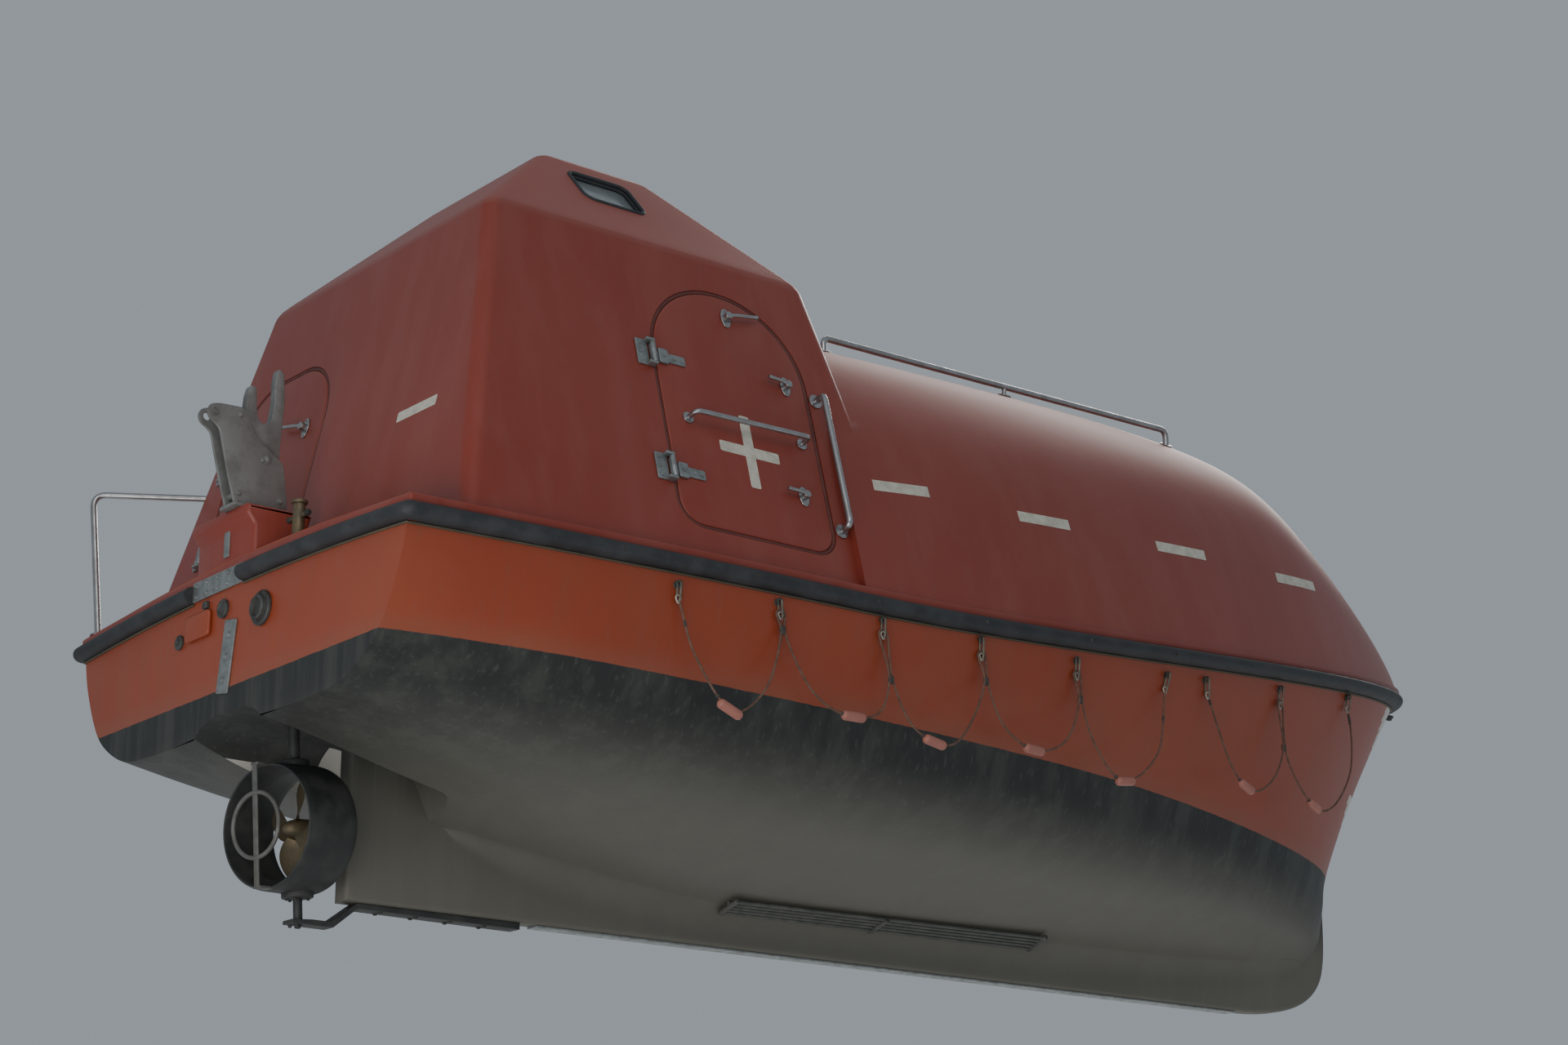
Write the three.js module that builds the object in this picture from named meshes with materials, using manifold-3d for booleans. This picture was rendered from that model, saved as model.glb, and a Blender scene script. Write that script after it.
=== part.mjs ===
// An enclosed ship's lifeboat: a fibreglass hull with a box keel, a canopy with a raised
// steering cabin aft, a propeller in a steering nozzle, doors, lifting hooks and rails.
// Units are millimetres. Everything is laid out from the transom (x = 0) and the keel line
// (z = 0), with +X to the bow, +Y to port and +Z up. The last group then moves it all so that
// the origin lies on the centreline, amidships, on the waterline.
import * as THREE from "three";
import { mergeVertices } from "three/addons/utils/BufferGeometryUtils.js";
import Module from "manifold-3d";

const wasm = await Module();
wasm.setup();

// Driving dimensions
const MIDSHIP_X = 3430;
const WATERLINE_Z = 600;
const SEAT_GAP = 0.3;
const STEM_HALF = 16;
const SHEER_X = 2200;
const SHEER_POWER = 1.6;
const RUN_X = 2400;
const RUN_POWER = 1.8;
const HULL_WALL = 60;
const CANOPY_WALL = 50;
const RUNNING_GAP = 0.4;

// Hull lines, from the keel up to the gunwale. Each has its end on the stem, its breadth and
// height amidships, its breadth and height at the transom, where it is broadest, and the two
// powers that shape it in plan from there to the stem.
const LINE_COLUMNS = ["stemX", "stemZ", "midY", "midZ", "transomY", "transomZ", "broadX", "bow", "tip"];
const HULL_LINES = [
  [6095, 215, 55, 130, 55, 600, 1200, 2, 0.6],
  [6130, 330, 640, 292, 600, 588, 1500, 2, 0.85],
  [6137, 440, 960, 415, 860, 612, 1300, 2, 0.72],
  [6137, 560, 1110, 545, 985, 668, 1100, 2, 0.66],
  [6140, 705, 1195, 745, 1095, 752, 1000, 2, 0.62],
  [6420, 1190, 1255, 970, 1215, 960, 1700, 2.1, 0.72],
  [6820, 1782, 1285, 1240, 1280, 1205, 2200, 2.2, 0.77],
].map((row) => Object.fromEntries(row.map((value, k) => [LINE_COLUMNS[k], value])));
const GUNWALE = HULL_LINES[HULL_LINES.length - 1];
const TOPSIDE = HULL_LINES[HULL_LINES.length - 2];
const HULL_STATIONS = 28;
const CAMBER = { rise: 60, shares: [0.75, 0.5, 0.25], levelX: 300, endX: 1500 };

// Inside of the boat
const BENCH_Z = 790;
const WELL = { x0: 1050, x1: 5150, halfY: 350, z0: 450 };
const CAVITY = { x0: 330, x1: 6200, stations: 14, riseX: 5300, rise: 0.5, overlap: 90 };
const ENGINE = { x0: 1120, x1: 1850, halfY: 250, height: 520 };

// Tunnel over the nozzle, and the keel
const TUNNEL = { halfY: 310, roofZ: 655, flatY: 70, backX: -60, bendX: 640, frontX: 930 };
const KEEL_HALF = 46;
const KEEL_HEEL_X = 525;
const KEEL_HEEL_Z = -25;
const KEEL_FORE_Z = 12;
const KEEL_FORE_X = 5550;
const SHOE = { x0: 1420, x1: 5480, halfY: 32, thick: 8 };
const COOLER = { x0: 2290, x1: 4070, pipes: 5, pitch: 25, firstY: -112, radius: 9, drop: 26 };

// Steering nozzle, its stock and the propeller. The shaft falls a little on its way aft, the
// stock stands square to it, and the nozzle rests turned a little about the stock.
const STOCK_X = 322;
const SHAFT_Z = 235;
const SHAFT_TILT = THREE.MathUtils.degToRad(4.5);
const NOZZLE_TURN = THREE.MathUtils.degToRad(13.5);
const NOZZLE_AFT = -155;
const NOZZLE_OUTER = 252;
const STOCK_RADIUS = 22;
const PIN_RADIUS = 18;
const PALM_TOP_Z = -113;
const GUARD = { back: 52, ring: 125, tube: 9, width: 26, thick: 8, reach: 236 };
const FLANGE = { upperRadius: 58, lowerRadius: 62, sunk: 14, upper: 16, lower: 14 };
const PROP = { radius: 188, hubRadius: 42, hubLength: 130, shaftRadius: 20, blades: 4, turn: 0.31 };
const STERN_TUBE = { length: 24, radius: 48 };

// Canopy arch: its ridge climbs gently from the cabin, then falls to the bow, with each run
// rounded into the next
const RIDGE_Z = 2768;
const RIDGE_CLIMB = { x: 4300, slope: 0.047, round: 500 };
const RIDGE_FALL = { x: 5395, slope: 0.685, round: 300 };
const ARCH_LEAN = 0.3;
const ARCH_ROUND = 4;
const ARCH_TIP = 0.45;
const ARCH_STEPS = 11;
const ROOM_STEPS = 5;
const FOOT_TRIM = 20;
const ARCH_X0 = 2125;
const ARCH_X1 = 6780;

// Steering cabin: level outlines from the gunwale up to the roof, each a rounded rectangle
const CABIN_LEVELS = [
  { z: 1150, x0: 232, x1: 2512, halfY: 1269, corner: 65 },
  { z: 1203, x0: 244, x1: 2500, halfY: 1254, corner: 65 },
  { z: 2640, x0: 560, x1: 2160, halfY: 856, corner: 65 },
  { z: 2668, x0: 576, x1: 2142, halfY: 842, corner: 65 },
  { z: 2700, x0: 608, x1: 2110, halfY: 815, corner: 62 },
  { z: 3130, x0: 1078, x1: 1650, halfY: 430, corner: 45 },
  { z: 3150, x0: 1110, x1: 1618, halfY: 400, corner: 40 },
];
const CORNER_STEPS = 5;
const CABIN_BASE = CABIN_LEVELS[1];
const CABIN_KNUCKLE = CABIN_LEVELS[2];
const CABIN_EAVES = CABIN_LEVELS[4];
const CABIN_ROOF = CABIN_LEVELS[6];

// Doors, in the plane of the wall that each lies in: x along the wall, y up its slope
const DOOR_THICK = 42;
const DOOR_GAP = 6;
const SIDE_DOOR = { x0: 1262, x1: 2036, low: 172, high: 1334, topRadius: 380, lowRadius: 110 };
const AFT_DOOR = { x0: -850, x1: -95, low: 262, high: 1075, topRadius: 280, lowRadius: 50 };
const HINGE = {
  out: 22, in: 16, strap: 150, halfStrap: 22, halfWeb: 40, halfBarrel: 48, radius: 11, lug: 12, leaf: 74,
};
const HATCH = { x0: 1150, x1: 1580, halfY: 260, thick: 34, lip: 40 };

// Rubber fender, with its middle a little below the gunwale, and over the transom a camber
const FENDER_HALF = 34;
const FENDER_PROUD = 48;
const FENDER_DROP = 62;
const FENDER_TURN = 0.3;
const FENDER_CAMBER = 45;
const FENDER_SUNK = 8;
const FENDER_GAP = { along: 0.4, across: 0.6 };
const STERN_PLATE = { y0: -80, y1: 320, z0: 1152, z1: 1232, thick: 10 };

// Grab lines: a rope on each side that hangs in bights from pegs under the fender, each peg
// given by its place along the boat and its height
const ROPE = { radius: 4.5, sides: 8, steps: 2, out: 20 };
const PEG = { radius: 13, length: 30, sides: 12 };
const AFT_PEGS = [[1190, 1030], [1682, 1050], [2207, 1062], [2757, 1070], [3350, 1095], [3965, 1150]];
const FORE_PEGS = [[4295, 1190], [4941, 1275], [5692, 1420]];

const FINISHES = {
  orange_canopy: { color: 0x8a3b2c, roughness: 0.55, metalness: 0 },
  orange_hull: { color: 0xb4512a, roughness: 0.5, metalness: 0 },
  black_rubber: { color: 0x1d2024, roughness: 0.8, metalness: 0 },
  galvanised: { color: 0x7d8280, roughness: 0.6, metalness: 0.8 },
  stainless: { color: 0x9aa2a6, roughness: 0.3, metalness: 1 },
  antifouling: { color: 0x2b2d2c, roughness: 0.85, metalness: 0 },
  bronze: { color: 0x8d7440, roughness: 0.4, metalness: 1 },
  glass: { color: 0x9fb3ba, roughness: 0.1, metalness: 0 },
  engine_grey: { color: 0x55605a, roughness: 0.6, metalness: 0.2 },
  dark_rope: { color: 0x3a2c28, roughness: 0.9, metalness: 0 },
};

const boat = new THREE.Group();
boat.position.set(-MIDSHIP_X, 0, -WATERLINE_Z);

function addPart(name, geometry, finish, parent = boat) {
  const mesh = new THREE.Mesh(geometry, new THREE.MeshStandardMaterial(FINISHES[finish]));
  mesh.name = name;
  parent.add(mesh);
  return mesh;
}

// Solids for joining and cutting

function toSolid(geometry) {
  const loose = geometry.index ? geometry.toNonIndexed() : geometry.clone();
  loose.deleteAttribute("normal");
  loose.deleteAttribute("uv");
  const welded = mergeVertices(loose, 1e-3);
  return new wasm.Manifold(new wasm.Mesh({
    numProp: 3,
    vertProperties: new Float32Array(welded.attributes.position.array),
    triVerts: new Uint32Array(welded.index.array),
  }));
}

function toGeometry(solid) {
  const mesh = solid.getMesh();
  const geometry = new THREE.BufferGeometry();
  geometry.setAttribute("position", new THREE.BufferAttribute(new Float32Array(mesh.vertProperties), 3));
  geometry.setIndex(new THREE.BufferAttribute(new Uint32Array(mesh.triVerts), 1));
  geometry.computeVertexNormals();
  return geometry;
}

function joined(...geometries) {
  return toGeometry(geometries.map(toSolid).reduce((whole, piece) => whole.add(piece)));
}

// A piece trimmed to sit on another, with the gap between them given as that other's shift
function seated(piece, carrier, gap) {
  return toGeometry(toSolid(piece).subtract(toSolid(carrier.translate(...gap))));
}

function box(x0, x1, y0, y1, z0, z1) {
  const geometry = new THREE.BoxGeometry(x1 - x0, y1 - y0, z1 - z0);
  return geometry.translate((x0 + x1) / 2, (y0 + y1) / 2, (z0 + z1) / 2);
}

// A cylinder from one point to another
function rod(from, to, radius, sides = 20) {
  const a = new THREE.Vector3(...from);
  const b = new THREE.Vector3(...to);
  const geometry = new THREE.CylinderGeometry(radius, radius, a.distanceTo(b), sides);
  const direction = b.clone().sub(a).normalize();
  geometry.applyQuaternion(new THREE.Quaternion().setFromUnitVectors(new THREE.Vector3(0, 1, 0), direction));
  const middle = a.add(b).multiplyScalar(0.5);
  return geometry.translate(middle.x, middle.y, middle.z);
}

// A path given as its own vertices
class KnotPath extends THREE.Curve {
  constructor(knots) {
    super();
    this.knots = knots;
  }

  getPointAt(u) {
    return this.knots[Math.round(u * (this.knots.length - 1))].clone();
  }

  getTangentAt(u) {
    const i = Math.round(u * (this.knots.length - 1));
    const before = this.knots[Math.max(0, i - 1)];
    const after = this.knots[Math.min(this.knots.length - 1, i + 1)];
    return after.clone().sub(before).normalize();
  }

  getSpacedPoints() {
    return this.knots.map((knot) => knot.clone());
  }
}

// Straight runs whose corners are rounded
function bentKnots(points, bend, steps = 5) {
  const p = points.map((point) => new THREE.Vector3(...point));
  const knots = [p[0]];
  for (let i = 1; i < p.length - 1; i++) {
    const back = p[i - 1].clone().sub(p[i]);
    const ahead = p[i + 1].clone().sub(p[i]);
    const reach = Math.min(bend, back.length() * 0.49, ahead.length() * 0.49);
    const start = p[i].clone().add(back.setLength(reach));
    const end = p[i].clone().add(ahead.setLength(reach));
    knots.push(...new THREE.QuadraticBezierCurve3(start, p[i], end).getPoints(steps));
  }
  knots.push(p[p.length - 1]);
  return knots;
}

function tubeAlong(knots, radius, sides) {
  const path = new KnotPath(knots);
  const section = new THREE.Shape();
  for (let i = 0; i < sides; i++) {
    const angle = (2 * Math.PI * i) / sides;
    section[i ? "lineTo" : "moveTo"](radius * Math.cos(angle), radius * Math.sin(angle));
  }
  const settings = { steps: knots.length - 1, extrudePath: path, bevelEnabled: false };
  return new THREE.ExtrudeGeometry(section, settings);
}

function tube(points, radius, bend, sides = 10) {
  return tubeAlong(bentKnots(points, bend), radius, sides);
}

// A plate drawn in the upright plane along the boat, between two planes across it
function sidePlate(outline, y0, y1) {
  const shape = new THREE.Shape(outline.map(([x, z]) => new THREE.Vector2(x, z)));
  const geometry = new THREE.ExtrudeGeometry(shape, { depth: y1 - y0, bevelEnabled: false });
  geometry.rotateX(Math.PI / 2);
  return geometry.translate(0, y1, 0);
}

// One closed body from matching half rings that run from its lowest line up, mirrored to
// both sides. The ends are closed by strips between the two sides.
function mirroredLoft(halfRings) {
  const levels = halfRings[0].length;
  const around = 2 * levels;
  const positions = [];
  halfRings.forEach((half) => {
    for (let k = levels - 1; k >= 0; k--) positions.push(half[k][0], half[k][1], half[k][2]);
    for (let k = 0; k < levels; k++) positions.push(half[k][0], -half[k][1], half[k][2]);
  });
  const faces = [];
  const quad = (a, b, c, d) => faces.push(a, b, c, a, c, d);
  for (let s = 0; s < halfRings.length - 1; s++) {
    for (let j = 0; j < around; j++) {
      const next = (j + 1) % around;
      quad(s * around + j, (s + 1) * around + j, (s + 1) * around + next, s * around + next);
    }
  }
  const last = (halfRings.length - 1) * around;
  for (let k = 0; k < levels - 1; k++) {
    const port = levels - 1 - k;
    const starboard = levels + k;
    quad(port, starboard, starboard + 1, port - 1);
    quad(last + port, last + port - 1, last + starboard + 1, last + starboard);
  }
  const geometry = new THREE.BufferGeometry();
  geometry.setAttribute("position", new THREE.Float32BufferAttribute(positions, 3));
  geometry.setIndex(faces);
  return geometry;
}

// Hull shape

function runAhead(x, fromX, toX) {
  return Math.min(1, Math.max(0, (x - fromX) / (toX - fromX)));
}

function breadth(line, x) {
  const ahead = runAhead(x, line.broadX, line.stemX);
  const astern = Math.max(0, 1 - x / line.broadX);
  const full = line.midY * Math.pow(1 - ahead ** line.bow, line.tip);
  return Math.max(STEM_HALF, full - (line.midY - line.transomY) * astern ** 2);
}

function height(line, x) {
  const ahead = runAhead(x, SHEER_X, line.stemX);
  const astern = Math.max(0, 1 - x / RUN_X);
  const sheer = (line.stemZ - line.midZ) * ahead ** SHEER_POWER;
  return line.midZ + sheer + (line.transomZ - line.midZ) * astern ** RUN_POWER;
}

// Stations crowd together towards the bow, where the lines bend most
function station(i, count) {
  return Math.sin((Math.PI / 2) * (i / count));
}

function onLine(line, i) {
  const x = line.stemX * station(i, HULL_STATIONS);
  return [x, breadth(line, x), height(line, x)];
}

// The deck over the stern is cambered. The camber fades out under the cabin.
function deckRise(x, share) {
  return CAMBER.rise * (1 - runAhead(x, CAMBER.levelX, CAMBER.endX)) * (1 - share ** 2);
}

function deckPoints([x, y, z]) {
  return CAMBER.shares.map((share) => [x, Math.max(4, y * share), z + deckRise(x, share)]);
}

function hullBody() {
  const rings = [];
  for (let i = 0; i <= HULL_STATIONS; i++) {
    rings.push([...HULL_LINES.map((line) => onLine(line, i)), ...deckPoints(onLine(GUNWALE, i))]);
  }
  return mirroredLoft(rings);
}

// The gunwale as the hull's own corners, from aft forward, and points along its straight runs
const GUNWALE_POINTS = [];
for (let i = 0; i <= HULL_STATIONS; i++) GUNWALE_POINTS.push(onLine(GUNWALE, i));

function onGunwale(x) {
  const next = Math.min(HULL_STATIONS, Math.max(1, GUNWALE_POINTS.findIndex((point) => point[0] > x)));
  const [x0, y0, z0] = GUNWALE_POINTS[next - 1];
  const [x1, y1, z1] = GUNWALE_POINTS[next];
  const share = (x - x0) / (x1 - x0);
  return [x, y0 + (y1 - y0) * share, z0 + (z1 - z0) * share];
}

// The box keel in one with its forefoot, drawn from the side
function keelBody() {
  const shape = new THREE.Shape();
  shape.moveTo(KEEL_HEEL_X, 700);
  shape.lineTo(KEEL_HEEL_X, KEEL_HEEL_Z);
  shape.lineTo(KEEL_FORE_X, KEEL_FORE_Z);
  shape.bezierCurveTo(5900, KEEL_FORE_Z + 8, 6060, 110, 6110, 240);
  shape.bezierCurveTo(6140, 330, 6142, 420, 6139, 620);
  shape.lineTo(6000, 620);
  shape.lineTo(5750, 300);
  shape.lineTo(1040, 300);
  shape.lineTo(1000, 700);
  const settings = { depth: 2 * KEEL_HALF, bevelEnabled: false, curveSegments: 8 };
  const geometry = new THREE.ExtrudeGeometry(shape, settings);
  geometry.rotateX(Math.PI / 2);
  return geometry.translate(0, KEEL_HALF, 0);
}

// The channel that leaves room for the nozzle: a flat roof with round shoulders, closed
// ahead of the nozzle by a slope down to the heel of the keel
function tunnelCut() {
  const rings = [];
  const profile = [
    { x: TUNNEL.backX, z: TUNNEL.roofZ },
    { x: TUNNEL.bendX, z: TUNNEL.roofZ },
    { x: TUNNEL.bendX + 130, z: TUNNEL.roofZ - 75 },
    { x: TUNNEL.frontX, z: 250 },
  ];
  const low = -200;
  profile.forEach(({ x, z }) => {
    const shoulder = Math.min(170, (z - low) / 2);
    const half = [[x, 10, low], [x, TUNNEL.halfY, low], [x, TUNNEL.halfY, z - shoulder]];
    for (let i = 1; i <= 6; i++) {
      const angle = (Math.PI / 2) * (i / 6);
      const y = TUNNEL.flatY + (TUNNEL.halfY - TUNNEL.flatY) * Math.cos(angle);
      half.push([x, y, z - shoulder + shoulder * Math.sin(angle)]);
    }
    rings.push(half);
  });
  return mirroredLoft(rings);
}

// Half breadth of the hull's skin at a station and a height
function skinY(x, z) {
  const reached = HULL_LINES.filter((line) => line.stemX > x);
  const above = Math.max(1, reached.findIndex((line) => height(line, x) >= z));
  const upper = reached[above];
  const lower = reached[above - 1];
  if (!upper || !lower) return 0;
  const share = (z - height(lower, x)) / (height(upper, x) - height(lower, x));
  return breadth(lower, x) + (breadth(upper, x) - breadth(lower, x)) * share;
}

// The room inside the hull above the benches, a wall's thickness inside its skin
function hullCavity() {
  const rings = [];
  for (let i = 0; i <= CAVITY.stations; i++) {
    const x = CAVITY.x0 + (CAVITY.x1 - CAVITY.x0) * station(i, CAVITY.stations);
    const floorZ = BENCH_Z + Math.max(0, x - CAVITY.riseX) * CAVITY.rise;
    const topZ = height(GUNWALE, x);
    const innerY = (z) => Math.max(20, skinY(x, z) - HULL_WALL);
    rings.push([
      [x, innerY(floorZ), floorZ],
      [x, innerY(topZ - 200), topZ - 200],
      [x, innerY(topZ - 1), topZ + CAVITY.overlap],
    ]);
  }
  return mirroredLoft(rings);
}

// A peg that carries a bight of the grab line
function pegGeometry(x, z, side) {
  const y = side * skinY(x, z);
  return rod([x, y - side * PEG.length, z], [x, y + side * PEG.length, z], PEG.radius, PEG.sides);
}

function buildHull() {
  const well = box(WELL.x0, WELL.x1, -WELL.halfY, WELL.halfY, WELL.z0, BENCH_Z + 60);
  let solid = toSolid(hullBody())
    .subtract(toSolid(tunnelCut()))
    .add(toSolid(keelBody()));
  [...AFT_PEGS, ...FORE_PEGS].forEach(([x, z]) => [1, -1].forEach((side) => {
    solid = solid.add(toSolid(pegGeometry(x, z, side)));
  }));
  solid = solid.subtract(toSolid(hullCavity())).subtract(toSolid(well));
  addPart("hull", toGeometry(solid), "orange_hull");
}

function keelLine(x) {
  return KEEL_HEEL_Z + (KEEL_FORE_Z - KEEL_HEEL_Z) * ((x - KEEL_HEEL_X) / (KEEL_FORE_X - KEEL_HEEL_X));
}

function buildKeelShoe() {
  const top0 = keelLine(SHOE.x0) - SEAT_GAP;
  const top1 = keelLine(SHOE.x1) - SEAT_GAP;
  const outline = [
    [SHOE.x0, top0 - SHOE.thick],
    [SHOE.x1, top1 - SHOE.thick],
    [SHOE.x1, top1],
    [SHOE.x0, top0],
  ];
  addPart("keel_shoe", sidePlate(outline, -SHOE.halfY, SHOE.halfY), "galvanised");
}

// Height of the hull's bottom skin beside the keel
function bottomZ(x, y) {
  const [inner, outer] = HULL_LINES;
  const share = (Math.abs(y) - breadth(inner, x)) / (breadth(outer, x) - breadth(inner, x));
  return height(inner, x) + (height(outer, x) - height(inner, x)) * share;
}

// Pipes side by side under the starboard bottom, joined by a header at each end and a clamp
function buildCooler() {
  const pieces = [];
  const lastY = COOLER.firstY - COOLER.pitch * (COOLER.pipes - 1);
  for (let i = 0; i < COOLER.pipes; i++) {
    const y = COOLER.firstY - COOLER.pitch * i;
    const from = [COOLER.x0, y, bottomZ(COOLER.x0, y) - COOLER.drop];
    const to = [COOLER.x1, y, bottomZ(COOLER.x1, y) - COOLER.drop];
    pieces.push(rod(from, to, COOLER.radius, 8));
  }
  const clampX = (COOLER.x0 + COOLER.x1) / 2 - 60;
  [COOLER.x0 + 10, clampX, COOLER.x1 - 10].forEach((x) => {
    const z0 = bottomZ(x, COOLER.firstY) - COOLER.drop;
    const z1 = bottomZ(x, lastY) - COOLER.drop;
    pieces.push(rod([x, COOLER.firstY + 12, z0 - 3], [x, lastY - 12, z1 + 3], 12, 10));
    const midY = (COOLER.firstY + lastY) / 2;
    const skinZ = bottomZ(x, midY);
    pieces.push(rod([x, midY, skinZ - COOLER.drop], [x, midY, skinZ + COOLER.drop], COOLER.radius, 10));
  });
  addPart("keel_cooler", seated(joined(...pieces), hullBody(), [0, 0, -SEAT_GAP]), "galvanised");
}

// Stern gear

// A piece made about the stock's foot at the shaft, turned with the shaft's fall
function onShaft(geometry) {
  return geometry.rotateY(-SHAFT_TILT).translate(STOCK_X, 0, SHAFT_Z);
}

function buildNozzle() {
  const steps = [
    [0, 240],
    [30, 246],
    [215, 252],
    [240, 246],
    [255, 232],
    [243, 218],
    [215, 210],
    [120, 212],
    [30, 228],
    [0, 233],
  ];
  const profile = steps.map(([along, radius]) => new THREE.Vector2(radius, along));
  profile.push(profile[0].clone());
  const duct = new THREE.LatheGeometry(profile, 32);
  duct.rotateZ(-Math.PI / 2);
  duct.translate(NOZZLE_AFT, 0, 0);
  const roofRise = (TUNNEL.roofZ - SHAFT_Z - SEAT_GAP) / Math.cos(SHAFT_TILT);
  const roof = roofRise - STOCK_RADIUS * Math.tan(SHAFT_TILT);
  const palm = (PALM_TOP_Z - SHAFT_Z) / Math.cos(SHAFT_TILT) + SEAT_GAP;
  const guardX = NOZZLE_AFT - GUARD.back;
  const half = GUARD.width / 2;
  const guardRing = new THREE.TorusGeometry(GUARD.ring, GUARD.tube, 6, 24);
  guardRing.rotateY(Math.PI / 2).translate(guardX, 0, 0);
  const bracket = (side) => {
    const z = [side * (GUARD.reach - 4), side * (GUARD.reach + 6)].sort((a, b) => a - b);
    return box(guardX - GUARD.thick / 2, NOZZLE_AFT + 30, -20, 20, ...z);
  };
  const sunk = NOZZLE_OUTER - FLANGE.sunk;
  const pieces = [
    duct,
    rod([0, 0, sunk], [0, 0, roof], STOCK_RADIUS),
    rod([0, 0, sunk], [0, 0, NOZZLE_OUTER + FLANGE.upper], FLANGE.upperRadius),
    rod([0, 0, -sunk], [0, 0, -NOZZLE_OUTER - FLANGE.lower], FLANGE.lowerRadius),
    rod([0, 0, -NOZZLE_OUTER], [0, 0, palm], PIN_RADIUS),
    box(guardX - GUARD.thick / 2, guardX + GUARD.thick / 2, -half, half, -GUARD.reach, GUARD.reach),
    bracket(1),
    bracket(-1),
    guardRing,
  ];
  addPart("steering_nozzle", onShaft(joined(...pieces).rotateZ(NOZZLE_TURN)), "antifouling");
}

// A blade is a thin twisted plate: pitch falls from the hub to the tip
function bladeGeometry() {
  const rings = [];
  for (let i = 0; i <= 6; i++) {
    const share = i / 6;
    const radius = PROP.hubRadius * 0.62 + (PROP.radius - PROP.hubRadius * 0.62) * share;
    const chord = 34 + 100 * Math.sin(Math.PI * (0.04 + 0.8 * share));
    const pitch = Math.atan2(230, 2 * Math.PI * Math.max(radius, 40));
    const thick = 9 - 5 * share;
    const along = new THREE.Vector3(Math.sin(pitch), Math.cos(pitch), 0);
    const across = new THREE.Vector3(Math.cos(pitch), -Math.sin(pitch), 0);
    const corners = [[-0.5, -0.3], [0, -0.5], [0.5, -0.3], [0.5, 0.3], [0, 0.5], [-0.5, 0.3]];
    rings.push(corners.map(([a, t]) => along.clone().multiplyScalar(a * chord * (share > 0.95 ? 0.55 : 1))
      .add(across.clone().multiplyScalar(t * thick)).add(new THREE.Vector3(0, 0, radius))));
  }
  const positions = [];
  rings.forEach((ring) => ring.forEach((point) => positions.push(point.x, point.y, point.z)));
  const faces = [];
  for (let i = 0; i < 6; i++) {
    for (let j = 0; j < 6; j++) {
      const a = i * 6 + j;
      const b = i * 6 + ((j + 1) % 6);
      faces.push(a, b + 6, b, a, a + 6, b + 6);
    }
  }
  for (let j = 1; j < 5; j++) {
    faces.push(0, j, j + 1);
    faces.push(36, 36 + j + 1, 36 + j);
  }
  const geometry = new THREE.BufferGeometry();
  geometry.setAttribute("position", new THREE.Float32BufferAttribute(positions, 3));
  geometry.setIndex(faces);
  return geometry;
}

function buildPropeller() {
  const hubX0 = -PROP.hubLength * 0.45;
  const heel = (KEEL_HEEL_X - STOCK_X) / Math.cos(SHAFT_TILT);
  const tubeX0 = heel - STERN_TUBE.length;
  const hub = new THREE.LatheGeometry([
    new THREE.Vector2(0, 0),
    new THREE.Vector2(14, 2),
    new THREE.Vector2(34, 30),
    new THREE.Vector2(PROP.hubRadius, 60),
    new THREE.Vector2(PROP.hubRadius, PROP.hubLength),
    new THREE.Vector2(0, PROP.hubLength),
  ], 22);
  hub.rotateZ(-Math.PI / 2);
  hub.translate(hubX0, 0, 0);
  const shaft = rod([0, 0, 0], [tubeX0 - SEAT_GAP, 0, 0], PROP.shaftRadius);
  const pieces = [hub, shaft];
  for (let i = 0; i < PROP.blades; i++) {
    const blade = bladeGeometry();
    blade.rotateX((2 * Math.PI * i) / PROP.blades + PROP.turn);
    pieces.push(blade);
  }
  addPart("propeller", onShaft(joined(...pieces)), "bronze");
  const sternTube = onShaft(rod([tubeX0, 0, 0], [heel + STERN_TUBE.length, 0, 0], STERN_TUBE.radius));
  addPart("stern_tube", seated(sternTube, keelBody(), [-SEAT_GAP, 0, 0]), "antifouling");
}

// The bar under the keel's heel that carries the nozzle's lower pin
function buildSolePiece() {
  const heelZ = keelLine(1000) - SEAT_GAP - 6;
  const pinX = STOCK_X - (PALM_TOP_Z - SHAFT_Z) * Math.tan(SHAFT_TILT);
  const palmZ = (x) => PALM_TOP_Z + (x - pinX) * Math.tan(SHAFT_TILT);
  const outline = [
    [pinX - 45, palmZ(pinX - 45)],
    [pinX - 45, PALM_TOP_Z - 18],
    [485, PALM_TOP_Z - 18],
    [590, heelZ - 18],
    [1340, heelZ - 18],
    [1340, keelLine(1340) - SEAT_GAP],
    [585, keelLine(585) - SEAT_GAP],
    [470, palmZ(pinX + 45)],
    [pinX + 45, palmZ(pinX + 45)],
  ];
  addPart("sole_piece", sidePlate(outline, -38, 38), "antifouling");
}

function buildEngine() {
  const z0 = WELL.z0 + SEAT_GAP;
  const block = box(ENGINE.x0, ENGINE.x1, -ENGINE.halfY, ENGINE.halfY, z0, z0 + ENGINE.height);
  addPart("engine_block", block, "engine_grey");
}

// Canopy

// A run that starts from nothing at zero, eased in over the rounding's length
function easedRun(distance, round) {
  return (distance + Math.hypot(distance, round)) / 2;
}

function ridge(x) {
  const climb = RIDGE_CLIMB.slope * easedRun(RIDGE_CLIMB.x - x, RIDGE_CLIMB.round);
  const fall = RIDGE_FALL.slope * easedRun(x - RIDGE_FALL.x, RIDGE_FALL.round);
  return RIDGE_Z - climb - fall;
}

function archY(share) {
  return (1 - ARCH_LEAN * share) * Math.pow(1 - share ** ARCH_ROUND, ARCH_TIP);
}

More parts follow.
